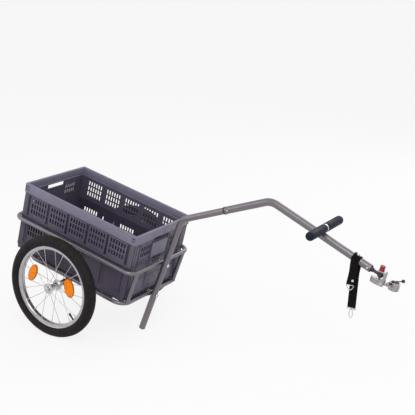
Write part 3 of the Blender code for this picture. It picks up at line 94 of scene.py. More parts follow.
# Crate
CRATE_LENGTH = 0.542
CRATE_WIDTH = 0.36
CRATE_SHIFT = -0.006
CRATE_BOTTOM = 0.026
CRATE_TOP = 0.301
BAND_HEIGHT = 0.035
BAND_THICKNESS = 0.0105
PANEL_THICKNESS = 0.005
PANEL_INSET = 0.004
FOLD_DEPTH = 0.133
BASE_HEIGHT = 0.018
BASE_SIDE_INSET = 0.002
BASE_END_INSET = 0.007
WINDOW_PITCH = 0.096
WINDOW_GROUPS = 5
FIELD_WIDTH = 0.074
SLOT_WIDTH = 0.007
SLOT_HEIGHT = 0.018
SLOT_STEP = 0.0124
SLOT_RISE = 0.023
GROOVE_WIDTH = 0.012
GROOVE_PLACES = (-0.24, -0.144, -0.048, 0.048, 0.144, 0.24)
FOLD_GAP = 0.00015
SEAM = 0.0003

# Frame tubes
AXLE_TUBE_RADIUS = 0.011
AXLE_TUBE_LENGTH = 0.43
RAIL_RADIUS = 0.008
FLOOR_RAIL_Z = 0.0183
MID_RAIL_Z = 0.1577
MID_RAIL = {"rear": -0.291, "front": 0.283, "half": 0.192, "bend": 0.035}
FLOOR_BAR_PLACES = {"rear": -0.143, "front": 0.175}
FLOOR_BAR_REACH = 0.1753
FLOOR_BAR_THICKNESS = 0.005
FLOOR_RAIL = {"rear": -0.205, "front": 0.266, "half": 0.183, "bend": 0.045}
POST_RADIUS = 0.0085
POST_Y = 0.156
LEG_RADIUS = 0.0125
FRONT_TUBE_RADIUS = 0.0138
TUBE_WALL = 0.0015
LEG_LEAN = math.radians(6.95)
LOWER_BEND_RADIUS = 0.055
UPPER_BEND_RADIUS = 0.065
RISE_ANGLE = math.radians(33.1)
FALL_ANGLE = math.radians(10.65)

X = Vector((1, 0, 0))
Y = Vector((0, 1, 0))
Z = Vector((0, 0, 1))


def to_trailer(point):
    """A point of the frame in the trailer's own axes."""
    return STANCE.inverted() @ Vector(point)


def pivot(joint):
    return to_trailer(JOINTS[joint]["pos_m"])


DRAWBAR_END = pivot("hitch_roll")
BALL = pivot("hitch_yaw")
FALL_WAY = Vector((math.cos(FALL_ANGLE), 0, -math.sin(FALL_ANGLE)))
FALL_UP = Vector((math.sin(FALL_ANGLE), 0, math.cos(FALL_ANGLE)))
RISE_WAY = Vector((math.cos(RISE_ANGLE), 0, math.sin(RISE_ANGLE)))
LEG_WAY = Vector((math.sin(LEG_LEAN), 0, math.cos(LEG_LEAN)))
LEG_FRONT = Vector((math.cos(LEG_LEAN), 0, -math.sin(LEG_LEAN)))
FALL_LENGTH = 0.4186
RISE_LENGTH = 0.391
UPPER_BEND = DRAWBAR_END - FALL_LENGTH * FALL_WAY
LOWER_BEND = UPPER_BEND - RISE_LENGTH * RISE_WAY
LEG_LOW_POINT = to_trailer([m["pos_m"] for m in frame["record"]["mounts"] if m["name"] == "foot_end"][0])
SPLIT = LOWER_BEND + 0.196 * RISE_WAY
HANDLE_CENTRE = UPPER_BEND + 0.2145 * FALL_WAY + 0.0291 * FALL_UP
DOWN = Vector((math.sin(PITCH), 0, -math.cos(PITCH)))
LEVEL = Vector((math.cos(PITCH), 0, math.sin(PITCH)))


# Materials

def shader(name, colour, roughness, metallic=0.0):
    material = bpy.data.materials.new(name)
    material.use_nodes = True
    node = material.node_tree.nodes["Principled BSDF"]
    node.inputs["Base Color"].default_value = (*colour, 1)
    node.inputs["Roughness"].default_value = roughness
    node.inputs["Metallic"].default_value = metallic
    return material, node


class Graph:
    """Short calls for building one material's nodes."""

    def __init__(self, material):
        self.tree = material.node_tree
        self.spot = self.add("ShaderNodeTexCoord").outputs["Object"]

    def add(self, kind, inputs=(), **values):
        """A new node; each input named takes a value, or a link where a socket is given."""
        node = self.tree.nodes.new(kind)
        for key, value in values.items():
            setattr(node, key, value)
        for key, value in dict(inputs).items():
            if isinstance(value, bpy.types.NodeSocket):
                self.link(value, node.inputs[key])
            else:
                node.inputs[key].default_value = value
        return node

    def link(self, source, target):
        self.tree.links.new(source, target)

    def noise(self, scale, detail=4.0, roughness=0.5, stretch=(1, 1, 1)):
        mapping = self.add("ShaderNodeMapping", {"Scale": stretch, "Vector": self.spot})
        node = self.add("ShaderNodeTexNoise", {
            "Scale": scale, "Detail": detail, "Roughness": roughness, "Vector": mapping.outputs["Vector"]})
        return node.outputs["Fac"]

    def wave(self, scale, distortion, direction):
        inputs = {"Scale": scale, "Distortion": distortion, "Vector": self.spot}
        return self.add("ShaderNodeTexWave", inputs, bands_direction=direction).outputs["Fac"]

    def cells(self, scale):
        return self.add("ShaderNodeTexVoronoi", {"Scale": scale, "Vector": self.spot}).outputs["Distance"]

    def range(self, value, low, high, start=0.0, end=1.0):
        inputs = {"From Min": start, "From Max": end, "To Min": low, "To Max": high, "Value": value}
        return self.add("ShaderNodeMapRange", inputs).outputs["Result"]

    def ramp(self, value, stops):
        node = self.add("ShaderNodeValToRGB", {"Fac": value})
        elements = node.color_ramp.elements
        while len(elements) < len(stops):
            elements.new(0.5)
        for element, (position, colour) in zip(elements, stops):
            element.position = position
            element.color = (*colour, 1)
        return node.outputs["Color"]

    def math(self, operation, a, b):
        return self.add("ShaderNodeMath", {0: a, 1: b}, operation=operation).outputs["Value"]

    def bump(self, height, strength, distance, below=None):
        inputs = {"Strength": strength, "Distance": distance, "Height": height}
        if below is not None:
            inputs["Normal"] = below
        return self.add("ShaderNodeBump", inputs).outputs["Normal"]

    def show_white(self, plain, white, share, output):
        """Lets camera, glossy and transmitted rays see white, by a share; light stays plain."""
        rays = self.add("ShaderNodeLightPath")
        seen = self.math("MAXIMUM", rays.outputs["Is Camera Ray"], rays.outputs["Is Glossy Ray"])
        seen = self.math("MAXIMUM", seen, rays.outputs["Is Transmission Ray"])
        mix = self.add("ShaderNodeMixShader", {0: self.math("MULTIPLY", seen, share), 1: plain, 2: white})
        self.link(mix.outputs["Shader"], self.tree.nodes[output].inputs["Surface"])


def shade(colour, share):
    return tuple(min(1.0, c * share) for c in colour)


def noise(scale, detail=4.0, roughness=0.5, stretch=(1, 1, 1)):
    return lambda graph: graph.noise(scale, detail, roughness, stretch)


def cells(scale):
    return lambda graph: graph.cells(scale)


def weave(graph):
    """Ribs across the webbing's width and threads along it."""
    return graph.math("MULTIPLY", graph.wave(420.0, 0.6, "Z"), graph.wave(300.0, 0.4, "X"))


def mixed(first, share, second):
    def build(graph):
        weighted = graph.math("MULTIPLY", first(graph), share)
        return graph.math("ADD", weighted, graph.math("MULTIPLY", second(graph), 1 - share))
    return build


def tones(colour, low, dark, high, light):
    """Two colour stops round one colour."""
    return [(low, shade(colour, dark)), (high, shade(colour, light))]


def surface(name, colour, roughness, metallic, tone, stops, gloss, bumps, **sockets):
    """A finish: tone runs through the colour stops, gloss varies, and bumps lie on each other.

    tone, the first of gloss and the first of each bump are patterns to build on the graph;
    sockets are the shader's own values, with _ for each space in their names.
    """
    material, node = shader(name, colour, roughness, metallic)
    graph = Graph(material)
    graph.link(graph.ramp(tone(graph), stops), node.inputs["Base Color"])
    pattern, low, high = gloss
    graph.link(graph.range(pattern(graph), low, high, 0.3, 0.7), node.inputs["Roughness"])
    normal = None
    for height, strength, distance in bumps:
        normal = graph.bump(height(graph), strength, distance, normal)
    graph.link(normal, node.inputs["Normal"])
    for socket, value in sockets.items():
        node.inputs[socket.replace("_", " ")].default_value = value
    return material


def speckled(name, colour, roughness, metallic, tone, grain, depth, **sockets):
    """Paint or plastic with slow colour clouds, fine grain and uneven gloss."""
    clouds = mixed(noise(9.0, 3.0), 0.65, noise(140.0))
    stops = tones(colour, 0.3, 1 - tone, 0.7, 1 + tone)
    gloss = (noise(55.0, 5.0, 0.6), roughness * 0.82, min(1.0, roughness * 1.2))
    bumps = [(noise(grain, 2.0), 0.5, depth)]
    return surface(name, colour, roughness, metallic, clouds, stops, gloss, bumps, **sockets)


def crate_plastic(name, colour):
    """Anthracite polypropylene: moulded grain and a slight violet cast; paler and darker copies of it carry
    painted light and shade.
    """
    flow = mixed(noise(7.0), 0.6, noise(30.0, 3.0, 0.5, (1, 1, 6)))
    grain = [(cells(1400.0), 0.35, 0.00005), (noise(260.0, 3.0), 0.25, 0.00008)]
    stops = tones(colour, 0.3, 0.86, 0.7, 1.16)
    return surface(name, colour, 0.42, 0, flow, stops, (noise(40.0), 0.36, 0.52), grain,
                   Specular_IOR_Level=0.45)


def brushed(name, colour, roughness, stretch=(1, 1, 1)):
    """Metal whose polishing lines run one way; stretch is the scale along each axis."""
    lines = noise(60.0, 5.0, 0.6, stretch)
    gloss = (lines, roughness * 0.75, roughness * 1.35)
    return surface(name, colour, roughness, 1.0, lines, tones(colour, 0.3, 0.82, 0.7, 1.12), gloss,
                   [(lines, 0.25, 0.00003)])


def amber_lens(name, share):
    """Clear amber plastic over a field of small corner prisms, with a faint painted glow; share dims both."""
    colour = shade((0.84, 0.215, 0.001), share)
    prisms = cells(240.0)
    ends = [shade((0.95, 0.32, 0.003), share), shade((0.55, 0.1, 0.0), share)]
    # The emission is a painted glow: the lens shines with no lamp behind it.
    return surface(name, colour, 0.3, 0, prisms, [(0.0, ends[0]), (0.5, colour), (1.0, ends[1])],
                   (noise(60.0), 0.24, 0.38), [(prisms, 0.7, 0.0006)], Specular_IOR_Level=0.2,
                   Emission_Color=(1.0, 0.24, 0.0, 1), Emission_Strength=0.1 * share)


def floor_material():
    """A pale floor that takes the object's shadow and is nearly white to the camera."""
    material, node = shader("studio_floor", (0.93, 0.93, 0.93), 0.9)
    graph = Graph(material)
    graph.link(graph.range(graph.noise(3.0), 0.86, 0.94), node.inputs["Roughness"])
    white = graph.add("ShaderNodeEmission", {"Color": (1, 1, 1, 1)})
    graph.show_white(node.outputs["BSDF"], white.outputs["Emission"], 0.84, "Material Output")
    return material


CAST_SKIN = noise(180.0, 6.0, 0.65)
CAST_TONES = [(0.3, (0.22, 0.2, 0.21)), (0.55, (0.42, 0.39, 0.405)), (0.8, (0.58, 0.55, 0.56))]
FOAM_PATCHES = noise(38.0)
MATERIALS = {
    "paint": speckled("silver_paint", (0.185, 0.168, 0.185), 0.38, 0.75, 0.07, 1600.0, 0.00002,
                      Coat_Weight=0.1, Coat_Roughness=0.12),
    "black": speckled("black_paint", (0.016, 0.015, 0.017), 0.34, 0.1, 0.25, 900.0, 0.00003,
                      Coat_Weight=0.2, Coat_Roughness=0.12),
    "tube": speckled("inner_tube_rubber", (0.012, 0.011, 0.012), 0.6, 0.0, 0.2, 500.0, 0.00005),
    "lever": speckled("lever_black", (0.012, 0.011, 0.012), 0.36, 0.2, 0.25, 600.0, 0.00004),
    "moulded": speckled("black_moulded", (0.02, 0.019, 0.021), 0.5, 0.0, 0.2, 700.0, 0.00006),
    "plastic": crate_plastic("crate_plastic", (0.1, 0.086, 0.132)),
    # A paler copy of the plastic: painted light on the rim band and on raised faces.
    "plastic_rim": crate_plastic("crate_plastic_painted_light", (0.185, 0.17, 0.24)),
    # A darker copy of the plastic: painted shade on the lower panels and the base tray.
    "plastic_low": crate_plastic("crate_plastic_painted_shade", (0.062, 0.05, 0.083)),
    # A near-black copy of the plastic: painted shade in the grooves and on the walls round holes.
    "plastic_painted_deep_shade": crate_plastic("crate_groove_painted_shade", (0.018, 0.014, 0.022)),
    "rim": brushed("rim_alloy", (0.48, 0.46, 0.48), 0.32, (1, 14, 1)),
    "steel": brushed("bright_steel", (0.56, 0.55, 0.57), 0.28),
    "amber": amber_lens("amber_lens", 1.0),
    # A dimmer copy for the reflector shell: painted shade and a weaker painted glow.
    "amber_edge": amber_lens("amber_edge", 0.6),
    "tyre": surface("tyre_rubber", (0.0075, 0.0052, 0.0058), 0.7, 0, noise(24.0, 5.0, 0.6),
                    [(0.35, (0.006, 0.00416, 0.00464)), (0.75, (0.015, 0.011, 0.012))],
                    (noise(70.0), 0.62, 0.82), [(noise(700.0, 3.0), 0.4, 0.00008)],
                    Specular_IOR_Level=0.25),
    "cast": surface("cast_alloy", (0.42, 0.39, 0.405), 0.42, 0.85, CAST_SKIN, CAST_TONES,
                    (CAST_SKIN, 0.3, 0.55), [(cells(500.0), 0.35, 0.00012), (noise(160.0), 0.5, 0.0003)]),
    "foam": surface("grip_foam", (0.01, 0.016, 0.03), 0.6, 0, FOAM_PATCHES,
                    [(0.32, (0.002, 0.003, 0.005)), (0.68, (0.005, 0.012, 0.028))],
                    (FOAM_PATCHES, 0.45, 0.75), [(cells(900.0), 0.6, 0.00025)],
                    Sheen_Weight=0.03, Sheen_Tint=(0.35, 0.55, 0.9, 1), Specular_IOR_Level=0.22),
    "webbing": surface("webbing", (0.01, 0.007, 0.009), 0.75, 0, weave,
                       [(0.2, (0.002, 0.0015, 0.002)), (0.9, (0.012, 0.008, 0.01))],
                       (noise(90.0), 0.62, 0.86), [(weave, 0.8, 0.0004)], Specular_IOR_Level=0.12),
    "red": surface("red_plastic", (0.3, 0.008, 0.014), 0.38, 0, noise(120.0, 3.0),
                   [(0.3, (0.2, 0.003, 0.006)), (0.7, (0.4, 0.014, 0.02))],
                   (noise(200.0), 0.3, 0.46), [(noise(500.0), 0.2, 0.00005)]),
}


# Mesh builders

def mm(*pairs):
    """Pairs of lengths, given in millimetres, as metres."""
    return [(a / 1000, b / 1000) for a, b in pairs]


def at(base, *pairs):
    """The same, with the first length of each pair counted from a base in metres."""
    return [(base + a / 1000, b / 1000) for a, b in pairs]


def skin(rings, closed=False):
    """A surface through rings of points; open ends are capped."""
    bm = bmesh.new()
    layers = [[bm.verts.new(point) for point in ring] for ring in rings]
    pairs = list(zip(layers, layers[1:]))
    if closed:
        pairs.append((layers[-1], layers[0]))
    for first, second in pairs:
        for i in range(len(first)):
            j = (i + 1) % len(first)
            bm.faces.new((first[i], first[j], second[j], second[i]))
    if not closed:
        bm.faces.new(layers[0])
        bm.faces.new(layers[-1])
    bmesh.ops.recalc_face_normals(bm, faces=bm.faces)
    return bm


def circle(centre, along, side, radius, sides):
    across = along.cross(side).normalized()
    angles = [2 * math.pi * i / sides for i in range(sides)]
    return [centre + radius * (math.cos(a) * side + math.sin(a) * across) for a in angles]


def tangents(path, closed):
    count = len(path)
    result = []
    for i in range(count):
        before = path[i - 1] if closed or i > 0 else path[i]
        after = path[(i + 1) % count] if closed or i < count - 1 else path[i]
        result.append((after - before).normalized())
    return result


def sweep(path, side, radius, sides=28, bore=0.0, closed=False):
    """A round bar or tube along a flat path; side is square to the path's plane."""
    ways = tangents(path, closed)
    outer = [circle(p, t, side, radius, sides) for p, t in zip(path, ways)]
    if not bore:
        return skin(outer, closed)
    inner = [circle(p, t, side, bore, sides) for p, t in zip(path, ways)]
    return skin(outer + inner[::-1], closed=True)


def turned(start, axis, stations, sides=32, side=None):
    """A turned solid: stations are distances along the axis with a radius each."""
    side = side or (Y if abs(axis.y) < 0.5 else Z)
    side = (side - side.dot(axis) * axis).normalized()
    return skin([circle(start + d * axis, axis, side, r, sides) for d, r in stations])


def turned_ring(centre, axis, outline, sides=64, warp=None):
    """A turned solid with a hole; warp may move each point by its place round the ring."""
    side = Y if abs(axis.y) < 0.5 else X
    across = axis.cross(side)
    rings = []
    for i in range(sides):
        angle = 2 * math.pi * i / sides
        way = math.cos(angle) * side + math.sin(angle) * across
        row = []
        for j, (d, r) in enumerate(outline):
            extra = warp(i, j) if warp else 0.0
            row.append(centre + d * axis + (r + extra) * way)
        rings.append(row)
    return skin(rings, closed=True)


def prism(outline, offset):
    return skin([outline, [point + offset for point in outline]])


def box(one, other):
    """A box between any two opposite corners."""
    (x0, x1), (y0, y1), (z0, z1) = [sorted(pair) for pair in zip(one, other)]
    outline = [Vector(p) for p in ((x0, y0, z0), (x1, y0, z0), (x1, y1, z0), (x0, y1, z0))]
    return prism(outline, Vector((0, 0, z1 - z0)))


def block(centre, axes, sizes):
    """A box with its own axes."""
    a, b, c = [axis * size / 2 for axis, size in zip(axes, sizes)]
    base = [centre - a - b - c, centre + a - b - c, centre + a + b - c, centre - a + b - c]
    return prism(base, 2 * c)


def gathered(meshes):
    bm = bmesh.new()
    for source in meshes:
        copies = {v: bm.verts.new(v.co) for v in source.verts}
        for face in source.faces:
            bm.faces.new([copies[v] for v in face.verts])
        source.free()
    return bm


def rounded(corners, radii, steps=14):
    path = [corners[0]]
    for i in range(1, len(corners) - 1):
        path.extend(arc(corners[i - 1], corners[i], corners[i + 1], radii[i - 1], steps))
    path.append(corners[-1])
    return path


def arc(before, corner, after, radius, steps):
    inward = (before - corner).normalized()
    onward = (after - corner).normalized()
    turn = math.pi - inward.angle(onward)
    start = corner + radius * math.tan(turn / 2) * inward
    centre = corner + radius / math.cos(turn / 2) * (inward + onward).normalized()
    normal = inward.cross(onward).normalized()
    points = []
    for i in range(steps + 1):
        spin = Matrix.Rotation(-turn * i / steps, 3, normal)
        points.append(centre + spin @ (start - centre))
    return points


def dome(start, end, radius, steps=6):
    """Stations that close a turned piece with a round end between two distances."""
    rows = []
    for i in range(steps + 1):
        angle = math.pi / 2 * i / steps
        rows.append((start + (end - start) * math.sin(angle), max(0.0004, radius * math.cos(angle))))
    return rows


def place(name, bm, finish, body, replaced=(), bevel=0.0, segments=2, angle=40):
    """Puts a mesh drawn in the trailer's axes into the frame, with its finish and body."""
    bm.transform(STANCE)
    mesh = bpy.data.meshes.new(name)
    bm.to_mesh(mesh)
    bm.free()
    mesh.shade_smooth()
    mesh.set_sharp_from_angle(angle=math.radians(angle))
    finishes = finish if isinstance(finish, tuple) else (finish,)
    for key in finishes:
        mesh.materials.append(MATERIALS[key])
    piece = bpy.data.objects.new(name, mesh)
    bpy.context.scene.collection.objects.link(piece)
    if bevel:
        modifier = piece.modifiers.new("soft_edges", "BEVEL")
        modifier.width = bevel
        modifier.segments = segments
        modifier.limit_method = "ANGLE"
        modifier.angle_limit = math.radians(35)
        modifier.harden_normals = False
    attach(piece, body)
    if replaced:
        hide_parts(*replaced)
    return piece


# Frame

def rail_path(rail, height):
    rear, front, half = rail["rear"], rail["front"], rail["half"]
    corners = [
        Vector((rear, 0, height)), Vector((rear, half, height)), Vector((front, half, height)),
        Vector((front, -half, height)), Vector((rear, -half, height)),
    ]
    path = rounded(corners + [corners[0]], [rail["bend"]] * 4, 16)
    return path[:-1]


def weld(centre, axis, around, tube_radius, rail_radius, rail_axis):
    """The bead where a round tube meets a round rail."""
    across = rail_axis.cross(axis).normalized()
    path = []
    count = 60
    for i in range(count):
        angle = 2 * math.pi * i / count
        sideways = tube_radius * math.cos(angle)
        lengthwise = tube_radius * math.sin(angle)
        depth = math.sqrt(max(rail_radius ** 2 - min(abs(sideways), rail_radius * 0.95) ** 2, 0))
        path.append(centre + sideways * across + lengthwise * rail_axis + depth * axis)
    rings = []
    for i, point in enumerate(path):
        way = (path[(i + 1) % count] - path[i - 1]).normalized()
        out = (point - centre - (point - centre).dot(axis) * axis).normalized()
        size = around * (1.0 + 0.16 * math.sin(i * 2.1))
        rings.append(circle(point, way, out, size, 8))
    return skin(rings, closed=True)


def make_rails():
    mid = sweep(rail_path(MID_RAIL, MID_RAIL_Z), Z, RAIL_RADIUS, 28, closed=True)
    place("mid_rail_tube", mid, "paint", "frame", ["mid_rail"])
    low = sweep(rail_path(FLOOR_RAIL, FLOOR_RAIL_Z), Z, RAIL_RADIUS, 28, closed=True)
    place("floor_rail_tube", low, "paint", "frame", ["floor_rail"])
    for sign, label in ((-1, "right"), (1, "left")):
        foot = Vector((FLOOR_RAIL["front"], sign * POST_Y, FLOOR_RAIL_Z))
        head = Vector((MID_RAIL["front"] - 0.0007, sign * POST_Y, MID_RAIL_Z))
        way = (head - foot).normalized()
        beads = [
            weld(foot, way, 0.0013, POST_RADIUS, RAIL_RADIUS, Y),
            weld(head, -way, 0.0013, POST_RADIUS, RAIL_RADIUS, Y),
        ]
        post = sweep([foot, head], Y, POST_RADIUS, 28)
        place("front_post_tube_" + label, post, "paint", "frame", ["front_post_" + label])
        place("front_post_welds_" + label, gathered(beads), "paint", "frame")


def make_floor_bars():
    top = CRATE_BOTTOM - 0.0003
    for label, x in FLOOR_BAR_PLACES.items():
        corner = (x - 0.015, -FLOOR_BAR_REACH, top - FLOOR_BAR_THICKNESS)
        bar = box(corner, (x + 0.015, FLOOR_BAR_REACH, top))
        place("floor_bar_plate_" + label, bar, "paint", "frame", ["floor_bar_" + label], 0.0012)


def make_axle_tube():
    half = AXLE_TUBE_LENGTH / 2
    tube = sweep([Vector((0, -half, 0)), Vector((0, half, 0))], Z, AXLE_TUBE_RADIUS, 36,
                 AXLE_TUBE_RADIUS - 0.003)
    place("axle_tube_shell", tube, "black", "frame", ["axle_tube"], 0.0004)
    for sign, label in ((-1, "right"), (1, "left")):
        collars = []
        y = sign * FLOOR_RAIL["half"]
        for shift in (-0.014, 0.014):
            collars.append(turned(Vector((0, y + shift, 0)), Y, [
                (-0.002, AXLE_TUBE_RADIUS + 0.0004), (-0.0012, AXLE_TUBE_RADIUS + 0.0014),
                (0.0012, AXLE_TUBE_RADIUS + 0.0014), (0.002, AXLE_TUBE_RADIUS + 0.0004)], 36))
        place("axle_tube_beads_" + label, gathered(collars), "black", "frame")


def make_leg_and_drawbar():
    foot = LEG_LOW_POINT + 0.003 * LEG_WAY
    end = SPLIT + 0.06 * RISE_WAY
    path = rounded([foot, LOWER_BEND, end], [LOWER_BEND_RADIUS], 22)
    rear = sweep(path, Y, LEG_RADIUS, 36, LEG_RADIUS - TUBE_WALL)
    place("drawbar_rear_tube", rear, "paint", "frame", ["drawbar_rear"], 0.0003)
    path = rounded([SPLIT, UPPER_BEND, DRAWBAR_END], [UPPER_BEND_RADIUS], 22)
    front = sweep(path, Y, FRONT_TUBE_RADIUS, 36, LEG_RADIUS + 0.0002)
    place("drawbar_front_tube", front, "paint", "frame", ["drawbar_front"], 0.0003)
    plug = mm((-3, 8.5), (-2.8, 11.5), (-1.8, 12.7), (-0.2, 12.7), (0.2, 10.5), (18, 10.5))
    place("foot_plug_cap", turned(foot, LEG_WAY, plug, 36), "moulded", "frame", ["foot_plug"])
    collar = turned_ring(SPLIT, RISE_WAY, [
        (-0.0025, LEG_RADIUS + 0.0001), (-0.0025, FRONT_TUBE_RADIUS + 0.0004),
        (0.0006, FRONT_TUBE_RADIUS + 0.0009), (0.003, FRONT_TUBE_RADIUS + 0.0006),
        (0.003, FRONT_TUBE_RADIUS - 0.0003), (0.0008, LEG_RADIUS + 0.0001)], 48)
    place("drawbar_collar", collar, "moulded", "frame")


def make_leg_bolts():
    """Domed bolts through the leg and the two rails, with washers and nuts."""
    for label, height in (("upper", MID_RAIL_Z), ("lower", FLOOR_RAIL_Z)):
        low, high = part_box("leg_bolt_" + label)
        centre = to_trailer((low + high) / 2)
        centre.y = 0
        half = 0.0262
        head = at(half, (-6.6, 7.8), (-5.6, 7.8), (-5.5, 6.6))
        head += dome(half - 0.005, half - 0.0005, 0.0064, 8)
        pieces = [turned(centre, LEG_FRONT, [(-half + 0.004, 0.0039), (half - 0.006, 0.0039)], 20)]
        pieces.append(turned(centre, LEG_FRONT, head, 28))
        nut = at(-half, (0.2, 5.6), (0.9, 6.3), (5.2, 6.3), (6, 5.7))
        pieces.append(turned(centre, LEG_FRONT, nut, 6))
        place("leg_bolt_set_" + label, gathered(pieces), "steel", "frame", ["leg_bolt_" + label], angle=30)


def make_button():
    place_point = SPLIT + 0.016 * RISE_WAY
    outside = FRONT_TUBE_RADIUS + 0.003
    stations = [(0.0082, 0.004)] + [(outside - 0.0022, 0.0039)] + dome(outside - 0.0021, outside, 0.0038, 8)
    place("button_dome", turned(place_point, -Y, stations, 28), "steel", "button", ["drawbar_button"])
    ring = turned_ring(place_point, -Y, [
        (FRONT_TUBE_RADIUS - 0.0009, 0.0043), (FRONT_TUBE_RADIUS + 0.0002, 0.0043),
        (FRONT_TUBE_RADIUS + 0.0002, 0.0054), (FRONT_TUBE_RADIUS - 0.0009, 0.006)], 36)
    place("button_hole_edge", ring, "moulded", "frame")


def make_handle():
    tube = sweep([HANDLE_CENTRE - 0.124 * Y, HANDLE_CENTRE + 0.124 * Y], FALL_UP, 0.011, 32)
    place("handle_bar", tube, "steel", "frame", ["handle_tube"])
    band = turned_ring(HANDLE_CENTRE, Y, mm((-6.8, 10.8), (-6.8, 13.6), (-5.8, 14.4), (5.8, 14.4),
                                            (6.8, 13.6), (6.8, 10.8)), 48)
    place("handle_band", band, "steel", "frame")
    base = HANDLE_CENTRE - 0.0291 * FALL_UP
    saddle = []
    for i in range(9):
        angle = math.pi * i / 8
        rise = 0.0125 + 0.007 * math.sin(angle)
        saddle.append(base + 0.0065 * math.cos(angle) * FALL_WAY + rise * FALL_UP - 0.0066 * Y)
    place("handle_saddle", prism(saddle, 0.0132 * Y), "steel", "frame", (), 0.0006)
    for label, way in (("right", -Y), ("left", Y)):
        stations = mm((7.3, 11.2), (7.4, 14.6), (8, 15.6))
        stations += [(0.009 + 0.002 * i, 0.0158 if i % 2 else 0.0154) for i in range(54)]
        stations += [(0.117 + 0.015 * math.sin(a), max(0.0005, 0.0158 * math.cos(a))) for a in
                     [math.pi / 2 * i / 10 for i in range(11)]]
        place("grip_foam_" + label, turned(HANDLE_CENTRE, way, stations, 40, FALL_UP), "foam",
              "frame", ["grip_" + label])


# Crate

def relief(us, ws, levels, cell, put):
    """A moulded panel on a grid: cell(u, w) gives its outer and inner face, or None for a hole.

    us and ws are the grid's lines, levels every depth in use, and put maps (u, w, t) to space.
    """
    us, ws, levels = sorted(set(us)), sorted(set(ws)), sorted(set(levels))
    cells = {}
    for i in range(len(us) - 1):
        for j in range(len(ws) - 1):
            cells[i, j] = cell((us[i] + us[i + 1]) / 2, (ws[j] + ws[j + 1]) / 2)
    bm = bmesh.new()
    made = {}

    def vertex(i, j, t):
        key = (i, j, round(t, 7))
        if key not in made:
            made[key] = bm.verts.new(put(us[i], ws[j], t))
        return made[key]

    # The walls round holes take slot 1, the near-black copy with painted shade.
    def wall(a, b, low, high, dark=False):
        stack = [t for t in levels if low - 1e-9 <= t <= high + 1e-9]
        for t0, t1 in zip(stack, stack[1:]):
            face = bm.faces.new((vertex(*a, t0), vertex(*b, t0), vertex(*b, t1), vertex(*a, t1)))
            face.material_index = int(dark)

    def between(one, other, a, b):
        if one == other:
            return
        if one is None or other is None:
            outer, inner = one or other
            wall(a, b, inner, outer, True)
            return
        wall(a, b, min(one[0], other[0]), max(one[0], other[0]))
        wall(a, b, min(one[1], other[1]), max(one[1], other[1]))

    for (i, j), value in cells.items():
        if value is not None:
            for t in value:
                ring = (vertex(i, j, t), vertex(i + 1, j, t), vertex(i + 1, j + 1, t), vertex(i, j + 1, t))
                face = bm.faces.new(ring)
                if t == value[0]:
                    # Deep outer faces take slot 1, painted shade; proud ones take slot 2, the lighter copy
                    # with painted light.
                    face.material_index = 1 if t <= PAINTED_SHADE_DEPTH else 2 if t >= PAINTED_LIGHT_HEIGHT else 0
    for i in range(len(us)):
        for j in range(len(ws) - 1):
            between(cells.get((i - 1, j)), cells.get((i, j)), (i, j), (i, j + 1))
    for i in range(len(us) - 1):
        for j in range(len(ws)):
            between(cells.get((i, j - 1)), cells.get((i, j)), (i, j), (i + 1, j))
    bmesh.ops.recalc_face_normals(bm, faces=bm.faces)
    return bm


class Pattern:
    """Rectangles laid over a panel; the last one that holds a point decides its faces."""

    def __init__(self, low_u, high_u, low_w, high_w, faces):
        self.us = [low_u, high_u]
        self.ws = [low_w, high_w]
        self.levels = list(faces)
        self.areas = [(low_u, high_u, low_w, high_w, faces)]

    def area(self, u0, u1, w0, w1, faces):
        u0, u1 = max(min(u0, u1), self.us[0]), min(max(u0, u1), self.us[1])
        w0, w1 = max(min(w0, w1), self.ws[0]), min(max(w0, w1), self.ws[1])
        self.areas.append((u0, u1, w0, w1, faces))
        if faces is not None:
            self.levels += list(faces)

    def pair(self, u0, u1, w0, w1, faces):
        """The same area on both sides of the middle."""
        self.area(-u0, -u1, w0, w1, faces)
        self.area(u0, u1, w0, w1, faces)

    def slots(self, centre, columns, step, top, rows, rise, width=SLOT_WIDTH, height=SLOT_HEIGHT):
        for column in range(columns):
            u = centre + (column - (columns - 1) / 2) * step
            for row in range(rows):
                w = top - row * rise
                self.area(u - width / 2, u + width / 2, w - height, w, None)

    def build(self, put):
        us = [u for a in self.areas for u in a[:2]]
        ws = [w for a in self.areas for w in a[2:4]]

        def cell(u, w):
            found = None
            for u0, u1, w0, w1, faces in self.areas:
                if u0 < u < u1 and w0 < w < w1:
                    found = faces
            return found

        us = [round(u, 6) for u in us]
        ws = [round(w, 6) for w in ws]
        return relief(us, ws, [round(t, 7) for t in self.levels], cell, put)


THICK = PANEL_THICKNESS
# Outer faces deeper than this take painted shade, and those prouder than the next take painted light.
PAINTED_SHADE_DEPTH = -0.0026
PAINTED_LIGHT_HEIGHT = 0.002
# Panel slots: plain plastic, its near-black copy with painted shade, its paler copy with painted light.
PANEL_FINISH = ("plastic", "plastic_painted_deep_shade", "plastic_rim")
# Lower panel slots: the darker copy with painted shade, the near-black copy with painted shade in hollows,
# and the plain plastic.
LOW_FINISH = ("plastic_low", "plastic_painted_deep_shade", "plastic")
FULL = (0.0, -THICK)
SUNK = (-0.001, -THICK)
FIELD = (-0.0022, -THICK)
END_FIELD = (-0.0024, -THICK)
GROOVE = (-0.0034, -THICK)
RIDGE = (0.0012, -THICK)
PLATE = (0.0026, -THICK)
GROUP_CENTRES = [(i - (WINDOW_GROUPS - 1) / 2) * WINDOW_PITCH for i in range(WINDOW_GROUPS)]


def long_wall(sign):
    """Maps a panel's length, height below the rim's top and depth to space."""
    def put(u, w, t):
        return Vector((CRATE_SHIFT + u, sign * (CRATE_WIDTH / 2 - PANEL_INSET + t), CRATE_TOP + w))
    return put


def end_wall(sign):
    def put(u, w, t):
        return Vector((CRATE_SHIFT + sign * (CRATE_LENGTH / 2 - PANEL_INSET + t), u, CRATE_TOP + w))
    return put


